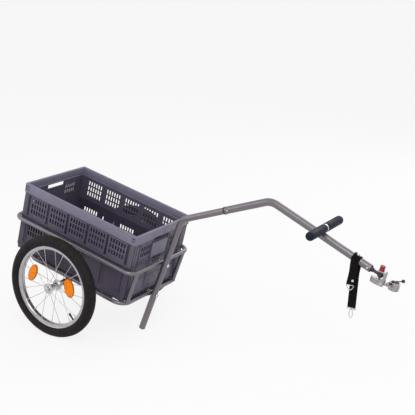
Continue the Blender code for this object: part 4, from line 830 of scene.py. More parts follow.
def upper_wall_pattern():
    half = CRATE_LENGTH / 2 - PANEL_INSET
    pattern = Pattern(-half, half, -FOLD_DEPTH + FOLD_GAP, -BAND_HEIGHT - SEAM, FULL)
    pattern.area(-0.247, 0.247, -0.128, -0.0395, SUNK)
    for centre in GROUP_CENTRES:
        pattern.area(centre - 0.042, centre + 0.042, -0.1235, -0.042, FULL)
        pattern.area(centre - FIELD_WIDTH / 2, centre + FIELD_WIDTH / 2, -0.116, -0.045, SUNK)
        pattern.slots(centre, 6, SLOT_STEP, -0.048, 3, SLOT_RISE)
    for u in GROOVE_PLACES:
        pattern.area(u - GROOVE_WIDTH / 2, u + GROOVE_WIDTH / 2, -0.127, -0.04, GROOVE)
    for u in GROOVE_PLACES[1:-1]:
        pattern.area(u - 0.0009, u + 0.0009, -0.127, -0.04, (-0.003, -THICK))
    pattern.area(-half, half, -0.133, -0.1296, RIDGE)
    pattern.pair(0.25, 0.2545, -0.128, -0.04, SUNK)
    return pattern


def lower_wall_pattern():
    half = CRATE_LENGTH / 2 - PANEL_INSET
    bottom = -(CRATE_TOP - CRATE_BOTTOM - BASE_HEIGHT) + SEAM
    top_line = -FOLD_DEPTH - FOLD_GAP
    pattern = Pattern(-half, half, bottom, top_line, FULL)
    for centre in GROUP_CENTRES:
        pattern.area(centre - FIELD_WIDTH / 2 - 0.002, centre + FIELD_WIDTH / 2 + 0.002,
                     bottom + 0.012, -0.143, FIELD)
    for index in (0, 2):
        pattern.slots(GROUP_CENTRES[index], 6, SLOT_STEP, -0.165, 2, SLOT_RISE)
    for sign in (-1, 1):
        pattern.area(GROUP_CENTRES[1] + sign * 0.028 - 0.003, GROUP_CENTRES[1] + sign * 0.028 + 0.003,
                     -0.188, -0.17, None)
    for u in GROOVE_PLACES:
        pattern.area(u - 0.0045, u + 0.0045, bottom + 0.006, -0.139, RIDGE)
        pattern.area(u - 0.0015, u + 0.0015, bottom + 0.008, -0.141, GROOVE)
    pattern.area(-half, half, top_line - 0.004, top_line, RIDGE)
    pattern.area(-half, half, bottom, bottom + 0.004, RIDGE)
    return pattern


def end_wall_pattern(front):
    half = CRATE_WIDTH / 2 - PANEL_INSET - THICK - 0.001
    bottom = -(CRATE_TOP - CRATE_BOTTOM - BASE_HEIGHT) + SEAM
    top = -BAND_HEIGHT - SEAM
    pattern = Pattern(-half, half, bottom, top, FULL)
    pattern.area(-half + 0.01, half - 0.01, bottom + 0.01, top - 0.004, SUNK)
    pattern.pair(0.062, 0.13, -0.108, -0.052, FULL)
    for sign in (-1, 1):
        pattern.slots(sign * 0.096, 5, 0.01275, -0.058, 2, SLOT_RISE)
    pattern.pair(0.0545, 0.0595, bottom + 0.01, -0.044, GROOVE)
    pattern.pair(0.134, 0.14, bottom + 0.01, -0.044, GROOVE)
    pattern.pair(0.061, 0.132, -0.199, -0.14, END_FIELD)
    pattern.pair(0.061, 0.132, -0.118, -0.113, RIDGE)
    pattern.pair(0.145, 0.156, bottom + 0.01, -0.044, RIDGE)
    if front:
        pattern.area(-0.0625, 0.0465, -0.1195, -0.0535, GROOVE)
        pattern.area(-0.058, 0.04, -0.116, -0.0565, PLATE)
    else:
        pattern.area(-0.05, 0.05, -0.118, -0.056, FULL)
    pattern.area(-0.05, 0.05, -0.199, -0.156, END_FIELD)
    if front:
        pattern.slots(-0.004, 5, 0.0105, -0.1235, 2, 0.015, 0.0052, 0.011)
    else:
        for sign in (-1, 1):
            pattern.slots(sign * 0.089, 3, 0.0105, -0.124, 1, 0.015, 0.006, 0.007)
    pattern.area(-half, half, -0.1355, -0.132, RIDGE)
    pattern.area(-half, half, bottom, bottom + 0.0045, RIDGE)
    pattern.area(-0.048, 0.048, -0.0525, top, None)
    return pattern


def make_rim():
    """The rim band: a flat top with rounded edges, an inner hinge line and locked corners."""
    def ring(inset, z):
        x, y = CRATE_LENGTH / 2 - inset, CRATE_WIDTH / 2 - inset
        radius = max(0.001, 0.0045 - inset * 0.3)
        points = []
        for quarter, (sx, sy) in enumerate(((1, 1), (-1, 1), (-1, -1), (1, -1))):
            centre = Vector((CRATE_SHIFT + sx * (x - radius), sy * (y - radius), z))
            for i in range(5):
                angle = math.pi / 2 * (quarter + i / 4)
                points.append(centre + radius * Vector((math.cos(angle), math.sin(angle), 0)))
        return points
    low = CRATE_TOP - BAND_HEIGHT
    section = [
        (0.0, low), (0.0, low + 0.004), (0.001, low + 0.005), (0.001, low + 0.0062),
        (0.0, low + 0.0072), (0.0, CRATE_TOP - 0.002), (0.0006, CRATE_TOP - 0.0006),
        (0.002, CRATE_TOP), (BAND_THICKNESS - 0.002, CRATE_TOP),
        (BAND_THICKNESS - 0.0006, CRATE_TOP - 0.0006),
        (BAND_THICKNESS, CRATE_TOP - 0.002), (BAND_THICKNESS, low + 0.01),
        (BAND_THICKNESS - 0.0016, low + 0.0086),
        (BAND_THICKNESS - 0.0016, low + 0.0066), (BAND_THICKNESS, low + 0.0052), (BAND_THICKNESS, low),
    ]
    bm = skin([ring(inset, z) for inset, z in section], closed=True)
    replaced = ["crate_rim_right", "crate_rim_left", "crate_rim_rear", "crate_rim_front"]
    # The rim band takes the paler copy of the plastic: painted light.
    rim = place("crate_rim_band", bm, "plastic_rim", "crate", replaced, angle=30)
    cutters = []
    for sx in (-1, 1):
        for sy in (-1, 1):
            for depth in (0.0085, 0.0185):
                x0 = CRATE_SHIFT + sx * (CRATE_LENGTH / 2 - 0.0045)
                x1 = CRATE_SHIFT + sx * (CRATE_LENGTH / 2 - 0.0205)
                y0 = sy * (CRATE_WIDTH / 2 - 0.0045)
                y1 = sy * (CRATE_WIDTH / 2 + 0.002)
                z1 = CRATE_TOP - depth
                cutters.append(box((x0, y0, z1 - 0.005), (x1, y1, z1)))
            x = CRATE_SHIFT + sx * (CRATE_LENGTH / 2 - 0.0238)
            y0 = sy * (CRATE_WIDTH / 2 - 0.0008)
            y1 = sy * (CRATE_WIDTH / 2 + 0.002)
            cutters.append(box((x - 0.0004, y0, low + 0.001), (x + 0.0004, y1, CRATE_TOP + 0.001)))
    for sx in (-1, 1):
        x0 = CRATE_SHIFT + sx * (CRATE_LENGTH / 2 - 0.002)
        x1 = CRATE_SHIFT + sx * (CRATE_LENGTH / 2 + 0.002)
        cutters.append(box((x0, -0.062, low - 0.001), (x1, 0.062, low + 0.01)))
    cut(rim, gathered(cutters), "corner_slots")
    return rim


def cut(piece, bm, label):
    """Cuts a hidden solid out of a piece and applies the result."""
    bm.transform(STANCE)
    mesh = bpy.data.meshes.new(label)
    bm.to_mesh(mesh)
    bm.free()
    tool = bpy.data.objects.new(label, mesh)
    bpy.context.scene.collection.objects.link(tool)
    modifier = piece.modifiers.new(label, "BOOLEAN")
    modifier.operation = "DIFFERENCE"
    modifier.solver = "EXACT"
    modifier.object = tool
    graph = bpy.context.evaluated_depsgraph_get()
    bpy.context.view_layer.update()
    result = bpy.data.meshes.new_from_object(piece.evaluated_get(graph))
    piece.modifiers.remove(modifier)
    piece.data = result
    bpy.data.objects.remove(tool)
    piece.data.set_sharp_from_angle(angle=math.radians(30))


def make_crate():
    make_rim()
    for sign, label in ((-1, "right"), (1, "left")):
        put = long_wall(sign)
        upper = upper_wall_pattern().build(put)
        place(label + "_upper_panel", upper, PANEL_FINISH, "crate", [label + "_wall_upper"], 0.00045, 1)
        lower = lower_wall_pattern().build(put)
        place(label + "_lower_panel", lower, LOW_FINISH, "crate", [label + "_wall_lower"], 0.00045, 1)
        knuckles = []
        for u in GROOVE_PLACES:
            centre = put(u, -BAND_HEIGHT - 0.004, -THICK / 2)
            knuckles.append(block(centre, (X, Y, Z), (0.012, THICK + 0.001, 0.007)))
            centre = put(u, -FOLD_DEPTH, -THICK / 2)
            knuckles.append(turned(centre - 0.007 * X, X, mm((0, 2.8), (14, 2.8)), 16))
        place(label + "_wall_hinges", gathered(knuckles), "plastic", "crate", (), 0.0005, 1)
    for sign, label in ((-1, "rear"), (1, "front")):
        wall = end_wall_pattern(sign > 0).build(end_wall(sign))
        body = label + "_wall"
        place(label + "_end_panel", wall, PANEL_FINISH, body, [label + "_end_wall"], 0.00045, 1)
    make_base()


def make_base():
    """The tray: outer ribs on its low wall and a ribbed floor."""
    out_x = CRATE_LENGTH / 2 - BASE_END_INSET
    out_y = CRATE_WIDTH / 2 - BASE_SIDE_INSET
    floor_top = CRATE_BOTTOM + 0.004
    top = CRATE_BOTTOM + BASE_HEIGHT

    def ring(inset, z):
        x, y = out_x - inset, out_y - inset
        return [Vector((CRATE_SHIFT + a * x, b * y, z)) for a, b in ((-1, -1), (1, -1), (1, 1), (-1, 1))]

    lip = top - 0.0045
    rings = [ring(0.005, floor_top), ring(0.005, top), ring(0.0, top), ring(0.0, lip),
             ring(0.0014, lip - 0.0004),
             ring(0.0014, CRATE_BOTTOM + 0.0014), ring(0.003, CRATE_BOTTOM)]
    parts = [skin(rings)]
    for y in (-0.11, -0.055, 0.0, 0.055, 0.11):
        parts.append(box((CRATE_SHIFT - out_x + 0.012, y - 0.002, floor_top - 0.0002),
                         (CRATE_SHIFT + out_x - 0.012, y + 0.002, floor_top + 0.0012)))
    for x in (-0.192, -0.096, 0.0, 0.096, 0.192):
        parts.append(box((CRATE_SHIFT + x - 0.002, -out_y + 0.012, floor_top - 0.0002),
                         (CRATE_SHIFT + x + 0.002, out_y - 0.012, floor_top + 0.0012)))
    side = mm((177.8, 26.2), (177.8, 25.1), (176.2, 23.4), (174.9, 20.5), (174.2, 20.5), (174.2, 26.2))
    for start, end in ((-0.185, -0.1585), (-0.1275, 0.1595), (0.1905, 0.212)):
        for sign in (-1, 1):
            outline = [Vector((start, sign * y, z)) for y, z in side]
            parts.append(prism(outline, (end - start) * X))
    front = FLOOR_RAIL["front"] - RAIL_RADIUS
    for sign in (-1, 1):
        parts.append(box((front - 0.0028, sign * 0.011, 0.02), (front - 0.0005, sign * 0.135, 0.0262)))
    # The tray takes the darker copy of the plastic: painted shade.
    place("crate_base_tray", gathered(parts), "plastic_low", "crate", ["crate_base"], 0.0005, 1)


# Wheels

def tyre_section():
    """Points across the tyre, from bead to bead over the tread."""
    crown = TYRE_RADIUS - TYRE_WIDTH / 2
    half = TYRE_WIDTH / 2
    top = RIM_RADIUS + 0.0005
    start = math.asin((top - crown) / half)
    steps = 24
    outer = []
    for i in range(steps + 1):
        angle = start + (math.pi - 2 * start) * i / steps
        outer.append((half * math.cos(angle), crown + half * math.sin(angle), angle))
    return outer


def tread_depth(i, angle):
    """Height of the tread at a place round the tyre and across it."""
    off = abs(angle - math.pi / 2)
    if off > math.radians(58):
        bead_line = abs(off - math.radians(78)) < math.radians(4)
        return 0.0005 if bead_line else -0.0002
    groove = abs(off - math.radians(14)) < math.radians(4.5)
    if off > math.radians(24):
        return -0.0012 if i % 4 == 0 else 0.0
    if groove:
        return -0.0012
    return -0.0006 if i % 8 == 0 else 0.0


def make_tyre(centre, way, label, body):
    section = tyre_section()
    bead = RIM_WIDTH / 2 - 0.0025
    outline = [(d, r) for d, r, _ in section]
    outline += [(-bead, RIM_RADIUS + 0.0005), (-bead, RIM_RADIUS - 0.008),
                (-bead + 0.003, RIM_RADIUS - 0.008)]
    hollow = TYRE_WIDTH / 2 - 0.003
    crown = TYRE_RADIUS - TYRE_WIDTH / 2
    for i in range(7):
        angle = math.radians(200 - 220 * i / 6)
        outline.append((hollow * math.cos(angle), crown + hollow * math.sin(angle)))
    outline += [(bead - 0.003, RIM_RADIUS - 0.008), (bead, RIM_RADIUS - 0.008), (bead, RIM_RADIUS + 0.0005)]
    count = len(section)

    def warp(i, j):
        return tread_depth(i, section[j][2]) if j < count else 0.0

    bm = turned_ring(centre, way, outline, 560, warp)
    place(label + "_tyre_tread", bm, "tyre", body, [label + "_tyre"], angle=28)


def make_rim_ring(centre, way, label, body):
    out = RIM_WIDTH / 2
    low = RIM_RADIUS - RIM_DEPTH
    half = [
        (out - 0.002, RIM_RADIUS - 0.0012), (out - 0.0012, RIM_RADIUS), (out - 0.0003, RIM_RADIUS - 0.0003),
        (out, RIM_RADIUS - 0.0016), (out - 0.0008, RIM_RADIUS - 0.003), (out - 0.0008, low + 0.006),
        (out - 0.0016, low + 0.0032), (out - 0.0045, low + 0.0012), (out * 0.42, low),
        (out * 0.15, low - 0.0002),
    ]
    inner = [(-out + 0.002, RIM_RADIUS - 0.0085), (out - 0.002, RIM_RADIUS - 0.0085)]
    outline = half + [(-d, r) for d, r in reversed(half)] + inner
    place(label + "_rim_ring", turned_ring(centre, way, outline, 200), "rim", body,
          [label + "_wheel_rim"], angle=28)


def wheel_point(centre, radius, angle, y):
    return centre + Vector((radius * math.cos(angle), y, radius * math.sin(angle)))


def spoke_line(centre, number):
    rim_angle = 2 * math.pi * (2 * number + 1) / (2 * SPOKE_COUNT)
    flange = 1 if number % 2 else -1
    lean = SPOKE_HUB_SHIFT if number % 4 < 2 else -SPOKE_HUB_SHIFT
    start = wheel_point(centre, HUB_FLANGE_RADIUS - 0.0032, rim_angle + lean, flange * HUB_FLANGE_OFFSET)
    end = wheel_point(centre, RIM_RADIUS - RIM_DEPTH + 0.0005, rim_angle, flange * 0.003)
    return start, end


def make_spokes(centre, label, body):
    wires = []
    nipples = []
    for number in range(SPOKE_COUNT):
        start, end = spoke_line(centre, number)
        way = (end - start).normalized()
        side = (Y - Y.dot(way) * way).normalized()
        wires.append(skin([circle(p, way, side, SPOKE_RADIUS, 10) for p in (start - 0.001 * way, end)]))
        wires.append(turned(start, way, mm((-2.4, 1.4), (-0.8, 1.9), (1.2, 1.4)), 10, side))
        nipples.append(turned(end - 0.013 * way, way,
                              mm((0, 1.2), (0.8, 1.8), (8.5, 1.9), (11, 2.4), (13, 2.4)), 10, side))
    place(label + "_spokes", gathered(wires), "steel", body, [label + "_hub_and_spokes"])
    place(label + "_nipples", gathered(nipples), "steel", body)


def make_hub(centre, way, label, body):
    end = HUB_LENGTH / 2
    flange = HUB_FLANGE_OFFSET
    half = at(end, (0, 10), (0, 12.8), (-0.6, 13.4)) + at(flange, (2.4, 13.8), (1.5, 15), (1.5, 20))
    half += [(flange + 0.0009, HUB_FLANGE_RADIUS), (flange - 0.0009, HUB_FLANGE_RADIUS)]
    half += at(flange, (-1.5, 20), (-1.5, 15), (-4, 12.6)) + [(0.008, HUB_BARREL_RADIUS - 0.0012)]
    outline = half + [(-d, r) for d, r in reversed(half)]
    shell = turned_ring(centre, way, outline, 64)
    place(label + "_hub_shell", shell, "steel", body, (), angle=28)
    cover = at(end, (-6.8, 6.4), (-0.3, 6.4), (-0.1, 7.8), (-0.6, 8.2), (-0.6, 9.8), (-6.8, 9.8))
    caps = [turned_ring(centre, sign * way, cover, 40) for sign in (-1, 1)]
    place(label + "_bearing_covers", gathered(caps), "moulded", body,
          [label + "_bearing_outer", label + "_bearing_inner"])


def make_stub_axle(sign, label):
    way = sign * Y
    tube_end = AXLE_TUBE_LENGTH / 2
    hub_in = TRACK / 2 - HUB_LENGTH / 2
    hub_out = TRACK / 2 + HUB_LENGTH / 2
    stations = at(tube_end, (-40, 5.9), (0.3, 5.9), (0.4, 9), (1.2, 9.5))
    stations += at(hub_in, (-1, 9.5), (-0.3, 9), (-0.2, 5.8))
    stations += at(hub_out, (0.2, 5.8), (0.4, 9.2), (1.6, 9.4), (1.8, 8.2), (6.2, 8))
    stations += dome(hub_out + 0.0066, hub_out + 0.009, 0.0074, 6)
    place(label + "_axle_and_cap", turned(Vector((0, 0, 0)), way, stations, 36), "steel", "frame",
          [label + "_stub_axle"], angle=28)


def make_reflector(centre, sign, angle, number, label, body):
    start = HUB_FLANGE_RADIUS - 0.0035
    run = RIM_RADIUS - RIM_DEPTH - 0.0012 - start
    drop = HUB_FLANGE_OFFSET - 0.003
    slope = math.atan2(drop, run)
    spoke_y = HUB_FLANGE_OFFSET - drop * (REFLECTOR_RADIUS - start) / run
    outward = Vector((math.cos(angle), 0, math.sin(angle)))
    tangent = Vector((-math.sin(angle), 0, math.cos(angle)))
    along = math.cos(slope) * outward - sign * math.sin(slope) * Y
    normal = math.sin(slope) * outward + sign * math.cos(slope) * Y
    base = wheel_point(centre, REFLECTOR_RADIUS, angle, sign * spoke_y)

    def oval(share, lift, sides=48):
        ring = []
        for i in range(sides):
            turn = 2 * math.pi * i / sides
            x = share * REFLECTOR_HALF_WIDTH * math.cos(turn)
            y = share * REFLECTOR_HALF_LENGTH * math.sin(turn)
            ring.append(base + lift * normal + x * along + y * tangent)
        return ring

    shell = [oval(0.93, 0.0012), oval(1.0, 0.0018), oval(1.0, 0.0066), oval(0.97, 0.0074),
             oval(0.9, 0.0075), oval(0.9, 0.007)]
    place(label + "_reflector_shell_" + number, skin(shell), "amber_edge", body,
          [label + "_reflector_" + number], angle=35)
    lens = [oval(0.895, 0.0068), oval(0.885, 0.0078), oval(0.8, 0.0082), oval(0.5, 0.0085),
            oval(0.12, 0.0086)]
    place(label + "_reflector_lens_" + number, skin(lens), "amber", body, (), angle=60)


def make_valve(centre, way, label, body):
    """The inner tube with the valve stem that grows from it."""
    inward = -Vector((math.cos(VALVE_ANGLE), 0, math.sin(VALVE_ANGLE)))
    seat = RIM_RADIUS - RIM_DEPTH - 0.0004
    stations = mm((-28, 4), (0, 4), (3, 3.4), (12, 3.1), (14.5, 3.4), (15, 4.1))
    for i in range(6):
        base = 0.0158 + 0.0017 * i
        stations += [(base, 0.0042), (base + 0.0008, 0.0038)]
    stations += mm((26.2, 4.2), (27.4, 3.8), (27.8, 2.6))
    stem = turned(centre - seat * inward, inward, stations, 24)
    crown = TYRE_RADIUS - TYRE_WIDTH / 2
    section = []
    for i in range(10):
        angle = math.radians(200 - 220 * i / 9)
        section.append((0.0182 * math.cos(angle), crown + 0.0182 * math.sin(angle)))
    parts = gathered([turned_ring(centre, way, section, 120), stem])
    place(label + "_tube_and_valve", parts, "tube", body, [label + "_inner_tube"], angle=40)


def make_wheel(sign, label):
    centre = Vector((0, sign * TRACK / 2, 0))
    way = sign * Y
    body = label + "_wheel"
    make_tyre(centre, way, label, body)
    make_rim_ring(centre, way, label, body)
    make_spokes(centre, label, body)
    make_hub(centre, way, label, body)
    make_stub_axle(sign, label)
    for number, angle in enumerate(REFLECTOR_ANGLES, 1):
        make_reflector(centre, sign, angle, str(number), label, body)
    make_valve(centre, way, label, body)


# Safety strap

STRAP_TOP = UPPER_BEND + 0.3605 * FALL_WAY
STRAP_THICKNESS = 0.0022


def front_lean(drop):
    """How far the front layer leans back at a drop under the tube."""
    return 0.012 * max(0, drop - 0.006) / 0.089


def strap_point(side, s, radius, near, join):
    share = max(0.0, min(1.0, (s - 0.006) / (join - 0.006)))
    ease = share * share * (3 - 2 * share)
    y = side * (radius + (near - radius) * ease)
    width = FALL_WAY.lerp(LEVEL, ease).normalized()
    back = front_lean(s) if side < 0 else 0
    return STRAP_TOP + s * DOWN - back * LEVEL + y * Y, side * Y, width


def make_strap():
    radius = FRONT_TUBE_RADIUS + 0.0003 + STRAP_THICKNESS / 2
    near = STRAP_THICKNESS / 2 + 0.0003
    stations = [strap_point(-1, 0.095 * (1 - i / 16), radius, near, 0.055) for i in range(16)]
    for i in range(17):
        angle = math.pi * i / 16
        out = -math.cos(angle) * Y + math.sin(angle) * FALL_UP
        stations.append((STRAP_TOP + radius * out, out, FALL_WAY))
    stations += [strap_point(1, 0.176 * i / 24, radius, near, 0.055) for i in range(1, 25)]
    rings = []
    for centre, thick, wide in stations:
        a, b = STRAP_THICKNESS / 2 * thick, 0.015 * wide
        edge = 0.92 * b
        rings.append([centre - 0.6 * a - b, centre - a - edge, centre - a + edge, centre - 0.6 * a + b,
                      centre + 0.6 * a + b, centre + a + edge, centre + a - edge, centre + 0.6 * a - b])
    place("strap_webbing", skin(rings), "webbing", "frame", ["safety_strap"], angle=50)
    seat = FRONT_TUBE_RADIUS + STRAP_THICKNESS + 0.0006
    head = mm((8, 3)) + at(seat, (0, 3), (0, 7.8), (0.8, 8), (1, 6))
    head += at(seat, (4, 5.9), (4.6, 5), (4.6, 2.8), (2.6, 2.6))
    place("strap_bolt_head", turned(STRAP_TOP, FALL_UP, head, 28), "steel", "frame", ["strap_bolt"], angle=30)
    nut = at(seat, (-0.5, 3.4), (0, 4.4), (3.4, 4.4), (4, 3.6))
    place("strap_nut", turned(STRAP_TOP - 0.0105 * FALL_WAY, FALL_UP, nut, 6), "black", "frame", (), angle=30)
    rivet_at = STRAP_TOP + 0.08 * DOWN - front_lean(0.08) / 2 * LEVEL
    face = STRAP_THICKNESS + 0.0006
    rivet = [(-face - 0.001, 0.004), (-face, 0.0045), (-face, 0.002), (face, 0.002), (face, 0.0048)]
    rivet += dome(face + 0.0002, face + 0.0018, 0.0046, 6)
    place("strap_rivet_head", turned(rivet_at, -Y, rivet, 28), "steel", "frame", ["strap_rivet"], angle=40)
    make_strap_rings()


def make_strap_rings():
    centre = pivot("strap_ring_swing")
    wire = 0.0016
    half = 0.015 - wire
    path = [centre + (-half + 2 * half * i / 6) * LEVEL for i in range(7)]
    for i in range(1, 16):
        angle = math.pi * i / 16
        along = half * math.cos(angle) * (1 - 0.3 * math.sin(angle))
        path.append(centre + along * LEVEL + 0.018 * math.sin(angle) * DOWN)
    place("strap_ring_wire", sweep(path, Y, wire, 16, closed=True), "steel", "strap_ring", ["strap_d_ring"])
    bar_top = STRAP_TOP + 0.1763 * DOWN
    bars = [block(bar_top + 0.003 * DOWN + 0.001 * Y, (LEVEL, Y, DOWN), (0.034, 0.004, 0.0058))]
    place("strap_end_clip", gathered(bars), "steel", "frame", ["strap_end_bar"], 0.001)
    centre = pivot("strap_hook_swing")
    path = []
    for i in range(32):
        angle = 2 * math.pi * i / 32
        along = 0.0065 * math.sin(angle)
        drop = 0.015 * (1 - math.cos(angle))
        path.append(centre + along * LEVEL + drop * DOWN)
    place("strap_hook_wire", sweep(path, Y, 0.0014, 12, closed=True), "steel", "strap_hook", ["snap_ring"])


# Hitch

BALL_RADIUS = 0.0105
SLEEVE_PLACE = 0.0555
SLEEVE_BORE = 0.014
SLEEVE_RADIUS = 0.0178
SLEEVE_BOTTOM = -0.029
SLEEVE_TOP = -0.003
DRUM_LINES = mm((-33.5, 1), (-32.5, 0))
for step in range(4):
    DRUM_LINES += at(-0.029 + 0.004 * step, (-0.6, 0), (0, 0.6), (0.6, 0))
DRUM_LINES += mm((-14.5, 0), (-13.5, 1))


def hitch(x, y, z):
    """A point given from the centre of the ball."""
    return BALL + Vector((x, y, z))


def make_shank():
    bush = mm((-28, 6), (-28, 12.4), (0.2, 12.4), (0.4, 12.8), (2.6, 12))
    bush += mm((3, 10.8), (3, 6))
    place("end_bush_ring", turned_ring(DRAWBAR_END, FALL_WAY, bush, 40), "moulded", "frame", ["end_bush"])
    screw_at = DRAWBAR_END - 0.01 * FALL_WAY
    screw = [(0.01, 0.0022), (FRONT_TUBE_RADIUS - 0.0002, 0.0022), (FRONT_TUBE_RADIUS - 0.0002, 0.0044)]
    screw += dome(FRONT_TUBE_RADIUS + 0.0004, FRONT_TUBE_RADIUS + 0.002, 0.0042, 6)
    place("end_screw", turned(screw_at, -Y, screw, 28), "steel", "frame", (), angle=40)
    stations = mm((-36, 8.5), (-30.3, 8.5), (-30.2, 5.7), (3.2, 5.7), (3.4, 8.4))
    stations += mm((8.5, 8.6), (9, 7.8), (11.8, 5.6), (24, 5.5))
    distance = (BALL - DRAWBAR_END).length
    for i in range(14):
        angle = math.pi * (0.82 - 0.79 * i / 13)
        stations.append((distance + BALL_RADIUS * math.cos(angle), BALL_RADIUS * math.sin(angle)))
    stem = turned(DRAWBAR_END, FALL_WAY, stations, 32)
    place("swivel_stem", stem, "black", "swivel", ["swivel_shank"], angle=32)


def rounded_outline(points, radii):
    """A closed outline whose corners become arcs where a radius is given."""
    result = []
    for i, point in enumerate(points):
        if radii[i]:
            result += arc(points[i - 1], point, points[(i + 1) % len(points)], radii[i], 5)
        else:
            result.append(point)
    return result


def make_coupling():
    """The fork round the ball: a bent plate over a drum with a slot for the clamp's tongue."""
    rear, front, web = -0.01, 0.02, 0.0135
    mouth, plate, low = 0.0125, 0.017, -0.0155
    places = [(rear, plate), (front, plate), (front, low), (rear, low)]
    places += [(rear, -mouth), (web, -mouth), (web, mouth), (rear, mouth)]
    corners = [hitch(x, -0.011, z) for x, z in places]
    outline = rounded_outline(corners, [0.001, 0.005, 0, 0, 0.001, 0.0045, 0.0045, 0.001])
    place("coupling_fork", prism(outline, 0.022 * Y), "cast", "coupling", ["coupling_head"], 0.0007)
    half = mm((-28, -6.5), (-10, -13.5), (21.5, -13.5))
    plan = half + [(x, -y) for x, y in reversed(half)]
    flat_corners = [Vector((x, y, 0)) for x, y in plan]
    shape = rounded_outline(flat_corners, [0.0045, 0.012, 0.002, 0.002, 0.012, 0.0045])
    rings = []
    for z, inset in DRUM_LINES:
        share = 1 - inset / 0.0135
        rings.append([BALL + Vector((share * (p.x + 0.003) - 0.003, share * p.y, z)) for p in shape])
    drum = place("coupling_drum", skin(rings), "cast", "coupling", (), angle=30)
    px, _, pz = pivot("hitch_pitch") - BALL
    slot = box(hitch(px - 0.0075, -0.0068, -0.036), hitch(px + 0.012, 0.0068, -0.012))
    cut(drum, slot, "tongue_slot")
    boss = turned(BALL, Z, mm((16.5, 8.5), (17.1, 8.5), (17.2, 8)), 36)
    place("coupling_boss", boss, "cast", "coupling")
    pin = mm((-35.3, 4.2), (-34.8, 5), (-33.8, 5), (-33.7, 3), (22.8, 3), (23, 2))
    place("king_pin_bolt", turned(BALL, Z, pin, 28), "steel", "coupling", ["king_pin"], angle=30)
    knob = mm((28, 3.4), (17.3, 3.4), (17.3, 8.4), (17.9, 9), (23.2, 9))
    knob += mm((23.8, 8.6), (24.2, 7.3), (25.8, 7.2), (26.4, 8.4), (27.2, 9))
    knob += mm((32.6, 9), (33.8, 8.6), (34.6, 7.4), (34.8, 5))
    place("release_knob_cap", turned(BALL, Z, knob, 40), "red", "knob", ["release_knob"], angle=45)
    pin = mm((-15.3, 4.2), (-13.8, 5), (-13.8, 3), (13.8, 3), (14.5, 2.4))
    place("pitch_hinge_pin", turned(hitch(px, 0, pz), Y, pin, 28), "steel", "coupling", ["pitch_pin"],
          angle=30)


def sleeve_band(inner, outer, start, end, steps=24):
    """The outline of a curved band round the sleeve's axis, at the foot of the sleeve."""
    centre = hitch(SLEEVE_PLACE, 0, SLEEVE_BOTTOM)
    angles = [start + (end - start) * i / steps for i in range(steps + 1)]
    ways = [Vector((math.cos(a), math.sin(a), 0)) for a in angles]
    return [centre + outer * way for way in ways] + [centre + inner * way for way in reversed(ways)]


def make_clamp():
    """The split sleeve on its tongue, the gate with three bands, and the hinge between."""
    height = SLEEVE_TOP - SLEEVE_BOTTOM
    middle = (SLEEVE_TOP + SLEEVE_BOTTOM) / 2
    split = 0.021
    quarter = math.pi / 2
    parts = [prism(sleeve_band(SLEEVE_BORE, SLEEVE_RADIUS, quarter + split, 3 * quarter - split), height * Z)]
    px, _, pz = pivot("hitch_pitch") - BALL
    parts.append(turned(hitch(px, 0, pz), Y, mm((-6.4, 6), (-6, 6.4), (6, 6.4), (6.4, 6)), 32))
    places = [(px, pz - 0.004), (px + 0.012, pz - 0.004), (0.0402, SLEEVE_BOTTOM + 0.002)]
    places += [(0.0402, SLEEVE_TOP - 0.002), (px + 0.012, pz + 0.004), (px, pz + 0.004)]
    parts.append(prism([hitch(x, -0.006, z) for x, z in places], 0.012 * Y))
    axis = pivot("gate_open")
    axis.z = BALL.z
    reach = axis.y
    wall = (SLEEVE_BORE + SLEEVE_RADIUS) / 2
    parts.append(turned(axis, Z, [(SLEEVE_BOTTOM, 0.0043), (middle - 0.0002, 0.0043)], 24))
    parts.append(box(hitch(SLEEVE_PLACE - 0.0043, wall, SLEEVE_BOTTOM),
                     hitch(SLEEVE_PLACE - 0.0004, reach, middle - 0.0002)))
    lever_axis = pivot("lever_open")
    parts.append(turned(lever_axis, Z, mm((-10, 4.3), (-0.1, 4.3)), 24))
    parts.append(box(lever_axis + Vector((-0.004, 0, -0.01)), lever_axis + Vector((0.004, 0.0082, -0.0004))))
    place("clamp_casting", gathered(parts), "cast", "clamp", ["clamp_body"], 0.0006)
    gate = [prism(sleeve_band(SLEEVE_BORE, SLEEVE_RADIUS, split - quarter, quarter - split), height * Z)]
    gate.append(turned(axis, Z, [(middle + 0.0002, 0.0043), (SLEEVE_TOP, 0.0043)], 24))
    gate.append(box(hitch(SLEEVE_PLACE + 0.0004, wall, middle + 0.0002),
                    hitch(SLEEVE_PLACE + 0.0043, reach, SLEEVE_TOP)))
    for rise in (0.0015, 0.012, 0.0225):
        band = sleeve_band(SLEEVE_RADIUS - 0.001, SLEEVE_RADIUS + 0.0009, -1.25, 1.25, 20)
        gate.append(prism([point + rise * Z for point in band], 0.002 * Z))
    place("clamp_gate_shell", gathered(gate), "cast", "gate", ["clamp_gate"], 0.0005)
    pin = at(middle, (-1, 2)) + at(SLEEVE_TOP, (0.3, 2), (0.4, 3.3), (1.6, 3.1))
    place("gate_hinge_pin", turned(axis, Z, pin, 24), "steel", "clamp", (), angle=30)
    make_lever(lever_axis)


